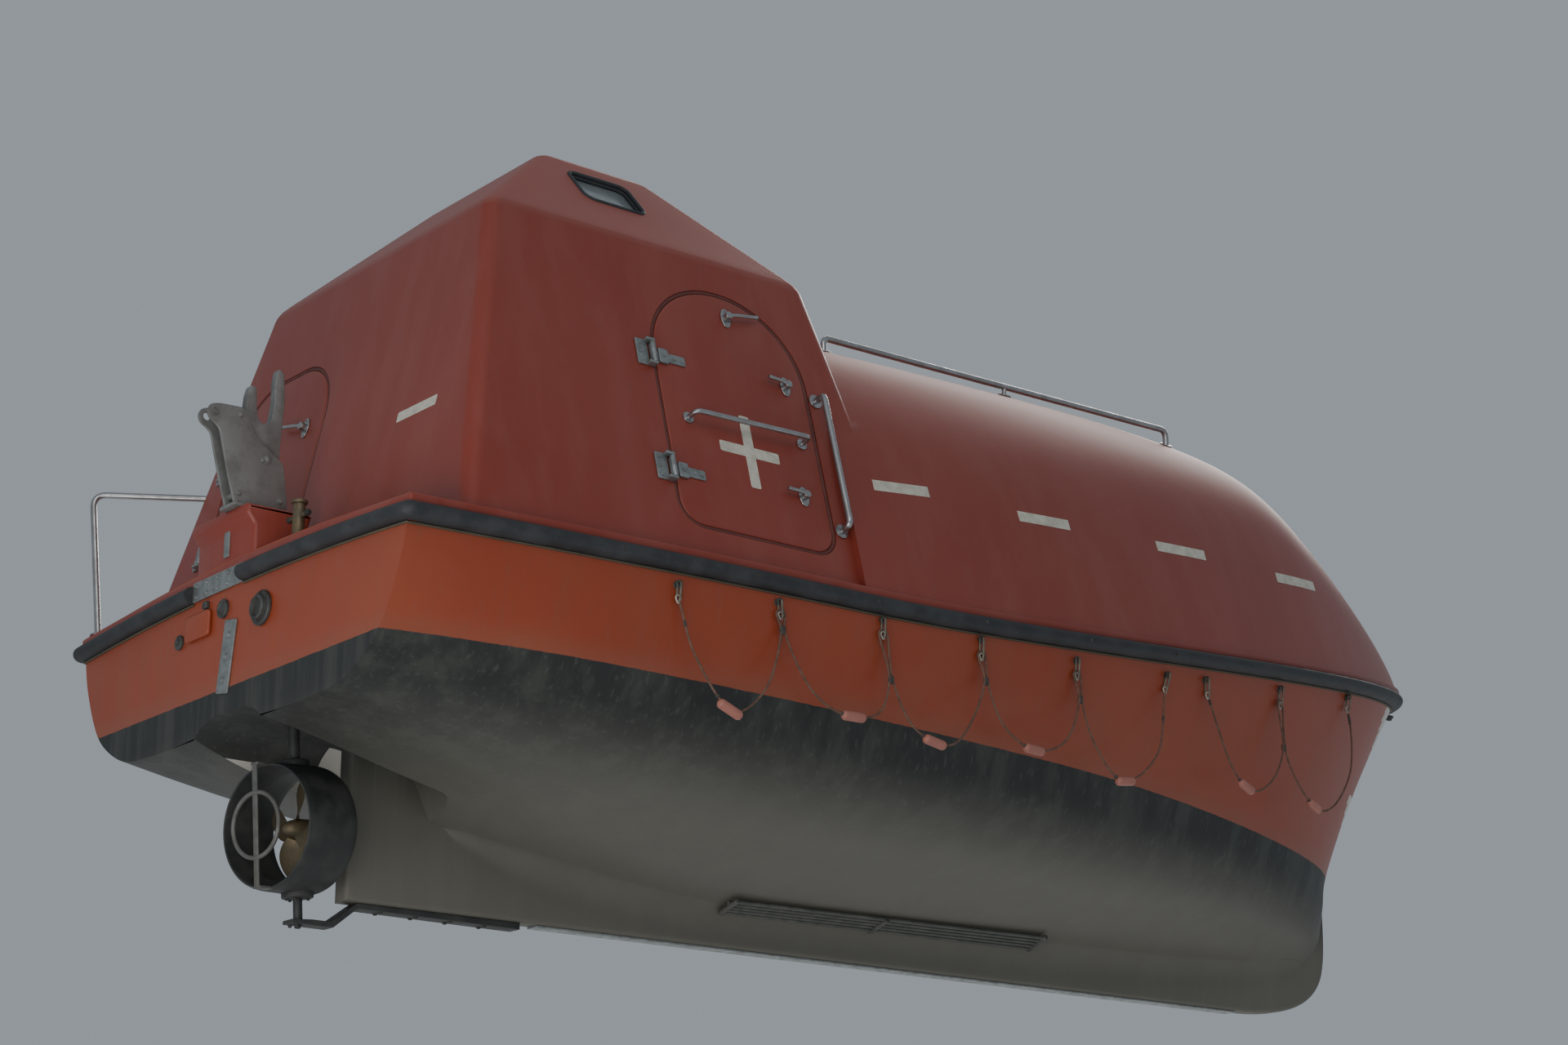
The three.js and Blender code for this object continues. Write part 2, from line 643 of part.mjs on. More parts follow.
// The forward canopy, from its foot on the gunwale up to the ridge, shrunk by inset for
// the inside
function archBody(inset, footDrop, steps) {
  const rings = [];
  const x1 = ARCH_X1 - inset * 2.2;
  const x0 = ARCH_X0 + inset;
  const along = GUNWALE_POINTS.map((point) => point[0]).filter((x) => x > x0 + 60 && x < x1 - 6);
  [x0, ...along, x1].forEach((x) => {
    const [, gunwaleY, gunwaleZ] = onGunwale(x);
    const footZ = gunwaleZ + SEAT_GAP - FOOT_TRIM;
    const topZ = Math.max(footZ + 20, ridge(x) - inset);
    const footY = Math.max(12, gunwaleY - 3 - inset);
    const half = footDrop ? [[x, footY, footZ - footDrop]] : [];
    for (let k = 0; k <= steps; k++) {
      const share = Math.sin((Math.PI / 2) * (k / steps));
      half.push([x, Math.max(8, footY * archY(share)), footZ + (topZ - footZ) * share]);
    }
    rings.push(half);
  });
  return mirroredLoft(rings);
}

// A closed stack of rounded rectangles
function outlineStack(levels) {
  const positions = [];
  const around = 4 * (CORNER_STEPS + 1);
  levels.forEach(({ z, x0, x1, halfY, corner }) => {
    const centres = [
      [x1 - corner, halfY - corner, 0],
      [x0 + corner, halfY - corner, 1],
      [x0 + corner, -halfY + corner, 2],
      [x1 - corner, -halfY + corner, 3],
    ];
    centres.forEach(([cx, cy, quarter]) => {
      for (let i = 0; i <= CORNER_STEPS; i++) {
        const angle = (Math.PI / 2) * (quarter + i / CORNER_STEPS);
        positions.push(cx + corner * Math.cos(angle), cy + corner * Math.sin(angle), z);
      }
    });
  });
  const faces = [];
  for (let s = 0; s < levels.length - 1; s++) {
    for (let j = 0; j < around; j++) {
      const a = s * around + j;
      const b = s * around + ((j + 1) % around);
      faces.push(a, b, b + around, a, b + around, a + around);
    }
  }
  const last = (levels.length - 1) * around;
  for (let j = 1; j < around - 1; j++) {
    faces.push(0, j + 1, j);
    faces.push(last, last + j, last + j + 1);
  }
  const geometry = new THREE.BufferGeometry();
  geometry.setAttribute("position", new THREE.Float32BufferAttribute(positions, 3));
  geometry.setIndex(faces);
  return geometry;
}

function cabinLevels(inset) {
  return CABIN_LEVELS.map(({ z, x0, x1, halfY, corner }) => ({
    z: z - (z > 1300 ? inset * 0.6 : 0),
    x0: x0 + inset,
    x1: x1 - inset,
    halfY: halfY - inset,
    corner: Math.max(30, corner - inset),
  }));
}

// The planes of the cabin's walls. Each is a group whose x runs along the wall to the right
// as seen from outside, whose y runs up its slope from the gunwale and whose z points out.
function wallPlane(origin, along, up) {
  const plane = new THREE.Group();
  const out = new THREE.Vector3().crossVectors(along, up);
  plane.position.copy(origin);
  plane.quaternion.setFromRotationMatrix(new THREE.Matrix4().makeBasis(along, up, out));
  plane.updateMatrix();
  boat.add(plane);
  return plane;
}

const WALL_RISE = CABIN_KNUCKLE.z - CABIN_BASE.z;
const SIDE_SLOPE = new THREE.Vector2(CABIN_BASE.halfY - CABIN_KNUCKLE.halfY, WALL_RISE).normalize();
const AFT_SLOPE = new THREE.Vector2(CABIN_KNUCKLE.x0 - CABIN_BASE.x0, WALL_RISE).normalize();
const starboardWall = wallPlane(
  new THREE.Vector3(0, -CABIN_BASE.halfY, CABIN_BASE.z),
  new THREE.Vector3(1, 0, 0),
  new THREE.Vector3(0, SIDE_SLOPE.x, SIDE_SLOPE.y),
);
const portWall = wallPlane(
  new THREE.Vector3(0, CABIN_BASE.halfY, CABIN_BASE.z),
  new THREE.Vector3(-1, 0, 0),
  new THREE.Vector3(0, -SIDE_SLOPE.x, SIDE_SLOPE.y),
);
const aftWall = wallPlane(
  new THREE.Vector3(CABIN_BASE.x0, 0, CABIN_BASE.z),
  new THREE.Vector3(0, -1, 0),
  new THREE.Vector3(AFT_SLOPE.x, 0, AFT_SLOPE.y),
);

// The slope between the knuckle and the roof, on each side and ahead
const EAVES_RISE = CABIN_LEVELS[5].z - CABIN_EAVES.z;
const ROOF_SIDE_SLOPE = new THREE.Vector2(CABIN_EAVES.halfY - CABIN_LEVELS[5].halfY, EAVES_RISE).normalize();
const ROOF_FRONT_SLOPE = new THREE.Vector2(CABIN_EAVES.x1 - CABIN_LEVELS[5].x1, EAVES_RISE).normalize();
const starboardPane = wallPlane(
  new THREE.Vector3(0, -CABIN_EAVES.halfY, CABIN_EAVES.z),
  new THREE.Vector3(1, 0, 0),
  new THREE.Vector3(0, ROOF_SIDE_SLOPE.x, ROOF_SIDE_SLOPE.y),
);
const portPane = wallPlane(
  new THREE.Vector3(0, CABIN_EAVES.halfY, CABIN_EAVES.z),
  new THREE.Vector3(-1, 0, 0),
  new THREE.Vector3(0, -ROOF_SIDE_SLOPE.x, ROOF_SIDE_SLOPE.y),
);
const frontPane = wallPlane(
  new THREE.Vector3(CABIN_EAVES.x1, 0, CABIN_EAVES.z),
  new THREE.Vector3(0, 1, 0),
  new THREE.Vector3(-ROOF_FRONT_SLOPE.x, 0, ROOF_FRONT_SLOPE.y),
);

// A rectangle with its own radii at the top and the bottom, grown or shrunk all round
function roundedOutline({ x0, x1, low, high, topRadius, lowRadius }, grow = 0) {
  const a = x0 - grow;
  const b = x1 + grow;
  const c = low - grow;
  const d = high + grow;
  const top = topRadius + grow;
  const foot = lowRadius + grow;
  const shape = new THREE.Shape();
  shape.moveTo(a + foot, c);
  shape.lineTo(b - foot, c);
  shape.absarc(b - foot, c + foot, foot, -Math.PI / 2, 0, false);
  shape.lineTo(b, d - top);
  shape.absarc(b - top, d - top, top, 0, Math.PI / 2, false);
  shape.lineTo(a + top, d);
  shape.absarc(a + top, d - top, top, Math.PI / 2, Math.PI, false);
  shape.lineTo(a, c + foot);
  shape.absarc(a + foot, c + foot, foot, Math.PI, 1.5 * Math.PI, false);
  return shape;
}

function slab(shape, z0, z1) {
  const settings = { depth: z1 - z0, bevelEnabled: false, curveSegments: 6 };
  return new THREE.ExtrudeGeometry(shape, settings).translate(0, 0, z0);
}

function mirrorX(door) {
  return { ...door, x0: -door.x1, x1: -door.x0 };
}

const SIDE_WINDOW = { x0: 1165, x1: 1465, low: 238, high: 472, topRadius: 45, lowRadius: 45 };
const FRONT_WINDOW = { x0: -330, x1: -40, low: 130, high: 440, topRadius: 40, lowRadius: 40 };
const PANE_THICK = 8;
const DOORS = [
  { name: "starboard_door", plane: starboardWall, size: SIDE_DOOR, hingeSide: -1, hinges: [0.2, 0.66] },
  { name: "port_door", plane: portWall, size: mirrorX(SIDE_DOOR), hingeSide: 1, hinges: [0.2, 0.66] },
  { name: "aft_door", plane: aftWall, size: AFT_DOOR, hingeSide: -1, hinges: [0.1, 0.6] },
];
const WINDOWS = [
  { name: "starboard_window", plane: starboardPane, size: SIDE_WINDOW },
  { name: "port_window", plane: portPane, size: mirrorX(SIDE_WINDOW) },
  { name: "front_window_port", plane: frontPane, size: mirrorX(FRONT_WINDOW) },
  { name: "front_window_starboard", plane: frontPane, size: FRONT_WINDOW },
];
const HOOK_WELL = { x0: 5540, x1: 6070, halfY: 150, floorZ: 1900, wall: 40 };

// The open well round the fore hook, grown by a wall for its outside
function wellBox(wall) {
  const { x0, x1, halfY, floorZ } = HOOK_WELL;
  return toSolid(box(x0 - wall, x1 + wall, -halfY - wall, halfY + wall, floorZ - wall, CABIN_ROOF.z));
}

function buildCanopy() {
  const shell = toSolid(archBody(0, 0, ARCH_STEPS)).add(toSolid(outlineStack(cabinLevels(0))));
  const archRoom = toSolid(archBody(CANOPY_WALL, CAVITY.overlap + 30, ROOM_STEPS));
  const cabinRoom = toSolid(outlineStack(cabinLevels(CANOPY_WALL)));
  const room = archRoom.add(cabinRoom).subtract(wellBox(HOOK_WELL.wall));
  let canopy = shell.subtract(toSolid(hullTopCut())).subtract(room).subtract(wellBox(0));
  DOORS.forEach(({ plane, size }) => {
    const hole = slab(roundedOutline(size, DOOR_GAP), -160, 60).applyMatrix4(plane.matrix);
    canopy = canopy.subtract(toSolid(hole));
  });
  WINDOWS.forEach(({ plane, size }) => {
    const hole = slab(roundedOutline(size), -200, 60).applyMatrix4(plane.matrix);
    canopy = canopy.subtract(toSolid(hole));
  });
  const hatchHole = box(HATCH.x0 + HATCH.lip, HATCH.x1 - HATCH.lip, -HATCH.halfY + HATCH.lip,
    HATCH.halfY - HATCH.lip, CABIN_ROOF.z - 200, CABIN_ROOF.z + 50);
  canopy = canopy.subtract(toSolid(hatchHole));
  DOORS.forEach((door) => hingeRows(door).forEach((y) => {
    canopy = canopy.add(toSolid(hingeLugs(door, y).applyMatrix4(door.plane.matrix)));
  }));
  addPart("canopy", toGeometry(canopy), "orange_canopy");
}

// Everything below the gunwale line and the cambered deck, to trim what stands on them
function hullTopCut() {
  const stern = [-200, ...GUNWALE_POINTS[0].slice(1)];
  const bow = [7200, ...GUNWALE_POINTS[HULL_STATIONS].slice(1)];
  return mirroredLoft([stern, ...GUNWALE_POINTS, bow].map((point) => {
    const [x, y, z] = point;
    const deck = [[x, 1500, 700], [x, 1500, z], [x, y, z], ...deckPoints(point)];
    return deck.map(([px, py, pz], k) => [px, py, k ? pz + SEAT_GAP : pz]);
  }));
}

function seatedOnDeck(piece) {
  return toGeometry(toSolid(piece).subtract(toSolid(hullTopCut())));
}

// Heights of a door's two hinges, and the line of their pins along the wall
function hingeRows({ size, hinges }) {
  return hinges.map((share) => size.low + share * (size.high - size.low));
}

function hingeX({ size, hingeSide }) {
  return (hingeSide < 0 ? size.x0 : size.x1) + hingeSide * HINGE.in;
}

// A box drawn from one x to another in either order
function boxAlong(a, b, y0, y1, z0, z1) {
  return box(Math.min(a, b), Math.max(a, b), y0, y1, z0, z1);
}

// A hinge is a strap on the door with a barrel beyond the door's edge
function hingeGeometry(door, y) {
  const axisX = hingeX(door);
  const strapX = axisX - door.hingeSide * (HINGE.in + HINGE.strap);
  const { out, radius, halfStrap, halfWeb, halfBarrel } = HINGE;
  return joined(
    boxAlong(axisX, strapX, y - halfStrap, y + halfStrap, SEAT_GAP, 8),
    box(axisX - radius, axisX + radius, y - halfWeb, y + halfWeb, SEAT_GAP + 6, out + 6),
    rod([axisX, y - halfBarrel, out], [axisX, y + halfBarrel, out], radius, 14),
  );
}

// The fixed leaf on the wall, with a lug at each end of the barrel
function hingeLugs(door, y) {
  const axisX = hingeX(door);
  const { out, radius, halfBarrel, lug, leaf } = HINGE;
  const nearX = axisX - door.hingeSide * (radius - 2);
  const farX = axisX + door.hingeSide * leaf;
  const reach = halfBarrel + SEAT_GAP;
  return joined(
    boxAlong(axisX + door.hingeSide * (radius + 6), farX, y - reach - lug, y + reach + lug, -2, 8),
    boxAlong(nearX, farX - door.hingeSide * 40, y + reach, y + reach + lug, -2, out + radius),
    boxAlong(nearX, farX - door.hingeSide * 40, y - reach - lug, y - reach, -2, out + radius),
  );
}

// A dog is a boss with a lever. Each is given by its boss, the lever's length and its turn.
const DOG = { radius: 17, height: 34, lever: 8, leverZ: 26 };
const SIDE_DOGS = [
  { x: 1674, y: 1227, reach: 155, turn: 0.19 },
  { x: 1929, y: 956, reach: 100, turn: 3.02 },
  { x: 1912, y: 424, reach: 95, turn: 3.07 },
];
const AFT_DOG = { x: -228, y: 764, reach: 200, turn: 2.91 };
const DOOR_BAR = { x0: 1378, y0: 671, x1: 1957, y1: 684, out: 62, radius: 11, bend: 40 };

function dogGeometry({ x, y, reach, turn }) {
  const boss = rod([x, y, SEAT_GAP], [x, y, DOG.height], DOG.radius, 14);
  const tip = [x + reach * Math.cos(turn), y + reach * Math.sin(turn), DOG.leverZ + 2];
  return joined(boss, tube([[x, y, DOG.leverZ], tip], DOG.lever, 1, 10));
}

function buildDoors() {
  DOORS.forEach((door) => {
    addPart(door.name, slab(roundedOutline(door.size), -DOOR_THICK, 0), "orange_canopy", door.plane);
    const [lowerY, upperY] = hingeRows(door);
    addPart(`${door.name}_hinge_lower`, hingeGeometry(door, lowerY), "stainless", door.plane);
    addPart(`${door.name}_hinge_upper`, hingeGeometry(door, upperY), "stainless", door.plane);
  });
  SIDE_DOGS.forEach((dog, i) => {
    const mirrored = { ...dog, x: -dog.x, turn: Math.PI - dog.turn };
    addPart(`starboard_door_dog_${i + 1}`, dogGeometry(dog), "stainless", starboardWall);
    addPart(`port_door_dog_${i + 1}`, dogGeometry(mirrored), "stainless", portWall);
  });
  addPart("aft_door_dog", dogGeometry(AFT_DOG), "stainless", aftWall);
  const { x0, y0, x1, y1, out, radius, bend } = DOOR_BAR;
  const bar = [[x0, y0, SEAT_GAP], [x0, y0, out], [x1, y1, out], [x1, y1, SEAT_GAP]];
  const portBar = bar.map(([x, up, off]) => [-x, up, off]);
  addPart("starboard_door_bar", tube(bar, radius, bend), "stainless", starboardWall);
  addPart("port_door_bar", tube(portBar, radius, bend), "stainless", portWall);
}

function buildWindows() {
  WINDOWS.forEach(({ name, plane, size }) => {
    addPart(name, slab(roundedOutline(size, -RUNNING_GAP), -30, -30 + PANE_THICK), "glass", plane);
  });
}

function buildHatch() {
  const shape = roundedOutline({
    x0: HATCH.x0, x1: HATCH.x1, low: -HATCH.halfY, high: HATCH.halfY, topRadius: 60, lowRadius: 60,
  });
  const lid = slab(shape, CABIN_ROOF.z + SEAT_GAP, CABIN_ROOF.z + HATCH.thick);
  addPart("roof_hatch", lid, "orange_canopy");
}

// Fender: a D-shaped rubber, swept along pairs of points on the hull's skin, one at its lower
// edge and one at its upper

function alongSkin(i, share) {
  const first = Math.min(HULL_STATIONS - 1, Math.floor(i));
  const mix = (a, b, part) => a.map((value, k) => value + (b[k] - value) * part);
  const low = mix(onLine(TOPSIDE, first), onLine(TOPSIDE, first + 1), i - first);
  const high = mix(onLine(GUNWALE, first), onLine(GUNWALE, first + 1), i - first);
  return mix(low, high, 1 - share / (high[2] - low[2]));
}

function fenderEdges(i) {
  return [alongSkin(i, FENDER_DROP + FENDER_HALF), alongSkin(i, FENDER_DROP - FENDER_HALF)];
}

function sweepFender([edges, outward, back]) {
  const section = [[back, 0]];
  for (let i = 0; i <= 8; i++) {
    const angle = -Math.PI / 2 + (Math.PI * i) / 8;
    section.push([10 + (FENDER_PROUD - 10) * Math.cos(angle), (1 + Math.sin(angle)) / 2]);
  }
  section.push([back, 1]);
  const around = section.length;
  const positions = [];
  edges.forEach(([low, high], i) => {
    const [ox, oy] = outward[i];
    section.forEach(([off, up]) => {
      const at = low.map((value, k) => value + (high[k] - value) * up);
      positions.push(at[0] + ox * off, at[1] + oy * off, at[2]);
    });
  });
  const faces = [];
  for (let s = 0; s < edges.length - 1; s++) {
    for (let j = 0; j < around; j++) {
      const a = s * around + j;
      const b = s * around + ((j + 1) % around);
      faces.push(a, a + around, b + around, a, b + around, b);
    }
  }
  const last = (edges.length - 1) * around;
  for (let j = 1; j < around - 1; j++) {
    faces.push(0, j, j + 1);
    faces.push(last, last + j + 1, last + j);
  }
  const geometry = new THREE.BufferGeometry();
  geometry.setAttribute("position", new THREE.Float32BufferAttribute(positions, 3));
  geometry.setIndex(faces);
  return geometry;
}

// Outward directions in plan, square to the outline, for the port side
function outwardOf(edges) {
  return edges.map((edge, i) => {
    const [before] = edges[Math.max(0, i - 1)];
    const [after] = edges[Math.min(edges.length - 1, i + 1)];
    const along = new THREE.Vector2(after[0] - before[0], after[1] - before[1]).normalize();
    return [-along.y, along.x];
  });
}

function turnedInsideOut(geometry) {
  const index = geometry.index.array;
  for (let i = 0; i < index.length; i += 3) [index[i + 1], index[i + 2]] = [index[i + 2], index[i + 1]];
  return geometry;
}

// The run from the transom's corner to the stem, with both sides' ends square at the middle.
// Its back lies within the hull, whose shape is then cut from it.
function sideFender() {
  const edges = [fenderEdges(FENDER_TURN)];
  for (let i = 1; i <= HULL_STATIONS; i++) edges.push(fenderEdges(i));
  const outward = outwardOf(edges);
  outward[0] = [0, 1];
  edges.push(fenderEdges(HULL_STATIONS).map(([x, , z]) => [x + 1.5, SEAT_GAP, z]));
  outward.push([1, 0]);
  return [edges, outward, -FENDER_SUNK];
}

// The run over the transom from the stern plate, round the corner and along to the side run
function sternFender(innerY) {
  const corner = fenderEdges(0);
  const cornerY = Math.max(...corner.map(([, y]) => y)) + 0.5;
  const edgesAt = (y) => corner.map(([, , z]) => [-0.5, y, z + FENDER_CAMBER * (1 - (y / cornerY) ** 2)]);
  const edges = [];
  const outward = [];
  for (let i = 0; i <= 4; i++) {
    edges.push(edgesAt(innerY + ((cornerY - innerY) * i) / 4));
    outward.push([-1, 0]);
  }
  for (let i = 1; i <= 6; i++) {
    const angle = (Math.PI / 2) * (i / 6);
    edges.push(edgesAt(cornerY));
    outward.push([-Math.cos(angle), Math.sin(angle)]);
  }
  edges.push(fenderEdges(FENDER_TURN).map(([x, y, z]) => [x - SEAT_GAP, y + 0.5, z]));
  outward.push([0, 1]);
  return [edges, outward, 0];
}

function buildFenders() {
  const toStarboard = ([edges, outward, back]) => [
    edges.map((edge) => edge.map(([x, y, z]) => [x, -y, z])),
    outward.map(([x, y]) => [x, -y]),
    back,
  ];
  const onHull = (name, sweep, gapX, gapY) => {
    addPart(name, seated(sweep, hullBody(), [gapX, gapY, 0]), "black_rubber");
  };
  const { along, across } = FENDER_GAP;
  const side = sideFender();
  onHull("fender_port", turnedInsideOut(sweepFender(side)), along, across);
  onHull("fender_starboard", sweepFender(toStarboard(side)), along, -across);
  const sternPort = sternFender(STERN_PLATE.y1);
  const sternStarboard = toStarboard(sternFender(-STERN_PLATE.y0));
  onHull("fender_stern_port", turnedInsideOut(sweepFender(sternPort)), -along, across);
  onHull("fender_stern_starboard", sweepFender(sternStarboard), -along, -across);
  const { y0, y1, z0, z1, thick } = STERN_PLATE;
  addPart("stern_plate", box(-1 - thick, -1, y0 + SEAT_GAP, y1 - SEAT_GAP, z0, z1), "galvanised");
}

// Fittings on the transom and the bow

const CHAINPLATE = { y: 22, z: 874, halfY: 45, halfZ: 145, thick: 9, lean: 0.157 };
const OUTLET = { y: -236, z: 1011, flange: 69, flangeOut: 16, spout: 50, spoutOut: 34 };
const BOW_PIN = { halfY: 15, reach: 52, low: 140, lip: 14, pinX: 34, pinRadius: 14 };
const PAINTER_EYE = { x0: 6786, x1: 6814, halfY: 6, lug: 44, ring: 20, tube: 6 };

function buildTransomFittings() {
  const { thick, halfY, halfZ, y, z, lean } = CHAINPLATE;
  const chainplate = box(-thick, -SEAT_GAP, -halfY, halfY, -halfZ, halfZ).rotateX(-lean).translate(0, y, z);
  addPart("chainplate", chainplate, "galvanised");
  const flange = joined(
    rod([-SEAT_GAP, OUTLET.y, OUTLET.z], [-OUTLET.flangeOut, OUTLET.y, OUTLET.z], OUTLET.flange, 24),
    rod([-12, OUTLET.y, OUTLET.z], [-OUTLET.spoutOut, OUTLET.y, OUTLET.z], OUTLET.spout, 24),
  );
  addPart("exhaust_outlet", flange, "galvanised");
}

// A small bracket on the stem under the fender's nose, with an upright pin
function buildBowPin() {
  const { halfY: half, reach, low: drop, lip, pinX, pinRadius } = BOW_PIN;
  const rake = (GUNWALE.stemX - TOPSIDE.stemX) / (GUNWALE.stemZ - TOPSIDE.stemZ);
  const stemX = (z) => TOPSIDE.stemX + rake * (z - TOPSIDE.stemZ) + 1;
  const low = GUNWALE.stemZ - drop;
  const high = GUNWALE.stemZ - FENDER_DROP - FENDER_HALF - 4;
  const x = stemX(high);
  const outline = [[stemX(low), low], [x + reach, high - lip], [x + reach, high], [x, high]];
  const bracket = joined(
    sidePlate(outline, -half, half),
    rod([x + pinX, 0, low + lip], [x + pinX, 0, high], pinRadius, 16),
  );
  addPart("bow_towing_pin", bracket, "galvanised");
}

// An upright lug on the stem's head, with a ring through it for the painter
function buildPainterEye() {
  const { x0, x1, halfY, lug, ring, tube: thick } = PAINTER_EYE;
  const z = GUNWALE.stemZ;
  const hoop = new THREE.TorusGeometry(ring, thick, 8, 20);
  hoop.rotateX(Math.PI / 2).translate((x0 + x1) / 2, 0, z + lug + ring - thick);
  const eye = joined(box(x0, x1, -halfY, halfY, z - lug, z + lug), hoop);
  addPart("painter_eye", seatedOnDeck(eye), "galvanised");
}

// Lifting hooks: a pair of side plates on a foot, with the hook pivoted between them

const HOOK_EYE = { at: [-205, 366], radius: 16 };
const HOOK_SIDES = [[-42, -30], [30, 42]];
const HOOK_FOOT = { aft: 115, fore: 145, halfY: 60, thick: 14 };
const SPACERS = { at: [[-88, 55], [95, 55]], half: 36, radius: 14 };
const HOOK_PLATE = [
  [-100, 0],
  [130, 0],
  [128, 60],
  [104, 212],
  [-10, 290],
  [-72, 396],
  [-92, 410],
  [-190, 406],
  [-228, 396],
  [-243, 366],
  [-232, 336],
  [-205, 322],
  [-183, 300],
  [-139, 127],
];
const HOOK_SHAPE = [
  [-20, 180],
  [60, 165],
  [95, 230],
  [100, 340],
  [108, 480],
  [100, 600],
  [72, 617],
  [62, 560],
  [64, 470],
  [52, 390],
  [20, 365],
  [-10, 390],
  [-16, 450],
  [-20, 515],
  [-45, 521],
  [-58, 480],
  [-62, 400],
  [-50, 320],
  [-30, 250],
];
const HOOK_PIVOT = { at: [30, 215], half: 29.7, radius: 16 };
const HOOK_HALF = 20;
const AFT_HOOK = { x: 60, z: 1460, way: 1 };
const FORE_HOOK = { x: 5700, z: HOOK_WELL.floorZ + SEAT_GAP, way: -1 };
const PEDESTAL = { x0: 3, x1: 190, lean: 70, lip: 30, lipThick: 38, y0: -127, y1: 325, topZ: 1460 };

// An outline in its place, drawn to the bow or, with way -1, to the stern
function hookOutline(outline, { x, z, way }) {
  const placed = outline.map(([a, b]) => [x + way * a, z + b]);
  return way < 0 ? placed.reverse() : placed;
}

function crossPin({ x, z, way }, [a, b], half, radius) {
  return rod([x + way * a, -half, z + b], [x + way * a, half, z + b], radius, 14);
}

function hookFrame(hook) {
  const { x, z, way } = hook;
  const eye = crossPin(hook, HOOK_EYE.at, HOOK_FOOT.halfY, HOOK_EYE.radius);
  const plates = HOOK_SIDES.map(([y0, y1]) => {
    const plate = sidePlate(hookOutline(HOOK_PLATE, hook), y0, y1);
    return toGeometry(toSolid(plate).subtract(toSolid(eye)));
  });
  const { aft, fore, halfY, thick } = HOOK_FOOT;
  const foot = boxAlong(x - way * aft, x + way * fore, -halfY, halfY, z, z + thick);
  const spacers = SPACERS.at.map((place) => crossPin(hook, place, SPACERS.half, SPACERS.radius));
  return joined(...plates, ...spacers, foot);
}

function hookGeometry(hook) {
  const horn = sidePlate(hookOutline(HOOK_SHAPE, hook), -HOOK_HALF, HOOK_HALF);
  return joined(horn, crossPin(hook, HOOK_PIVOT.at, HOOK_PIVOT.half, HOOK_PIVOT.radius));
}

function buildHooks() {
  const { x0, x1, lean, lip, lipThick, y0, y1, topZ } = PEDESTAL;
  const foot = GUNWALE.transomZ;
  const top = topZ - SEAT_GAP;
  const underLip = top - lipThick;
  const outline = [
    [x0, foot],
    [x1, foot],
    [x1 + lean, top],
    [-lip, top],
    [-lip, underLip],
    [x0, underLip - 40],
  ];
  addPart("aft_hook_pedestal", seatedOnDeck(sidePlate(outline, y0, y1)), "orange_canopy");
  addPart("aft_hook_frame", hookFrame(AFT_HOOK), "galvanised");
  addPart("aft_hook", hookGeometry(AFT_HOOK), "galvanised");
  addPart("fore_hook_frame", hookFrame(FORE_HOOK), "galvanised");
  addPart("fore_hook", hookGeometry(FORE_HOOK), "galvanised");
}

const MOORING_POST = { x: 85, y: -325, topZ: 1436, radius: 24, flange: 33, foot: 48, thick: 14 };
const POST_PIN = { half: 78, z: 1372, radius: 10 };

function buildMooringPost() {
  const { x, y, topZ, radius, flange, foot, thick } = MOORING_POST;
  const z0 = GUNWALE.transomZ;
  const post = joined(
    rod([x, y, z0], [x, y, z0 + CAMBER.rise + 10], foot, 20),
    rod([x, y, z0], [x, y, topZ], radius, 20),
    rod([x, y, topZ - thick], [x, y, topZ], flange, 20),
    rod([x, y - POST_PIN.half, POST_PIN.z], [x, y + POST_PIN.half, POST_PIN.z], POST_PIN.radius, 14),
  );
  addPart("mooring_post", seatedOnDeck(post), "bronze");
}

// Rails

// Height of the canopy's arch at a point inboard of its foot
function archZ(x, y) {
  const footZ = height(GUNWALE, x) + SEAT_GAP;
  const footY = breadth(GUNWALE, x) - 3;
  let low = 0;
  let high = 1;
  for (let i = 0; i < 40; i++) {
    const middle = (low + high) / 2;
    if (footY * archY(middle) > Math.abs(y)) low = middle;
    else high = middle;
  }
  return footZ + (ridge(x) - footZ) * low;
}

const ROOF_RAIL = { x0: 2620, xMid: 3705, x1: 4765, y: 410, topZ: 2682, climb: 32, radius: 15, bend: 45 };
const SIDE_RAIL = { x: 2080, low: 298, high: 922, out: 62, radius: 14, bend: 40 };
const AFT_RAIL = { radius: 14, bend: 60, foot: [22, 1208], top: [2, 1306, 1855], end: [420, 1040, 1853] };

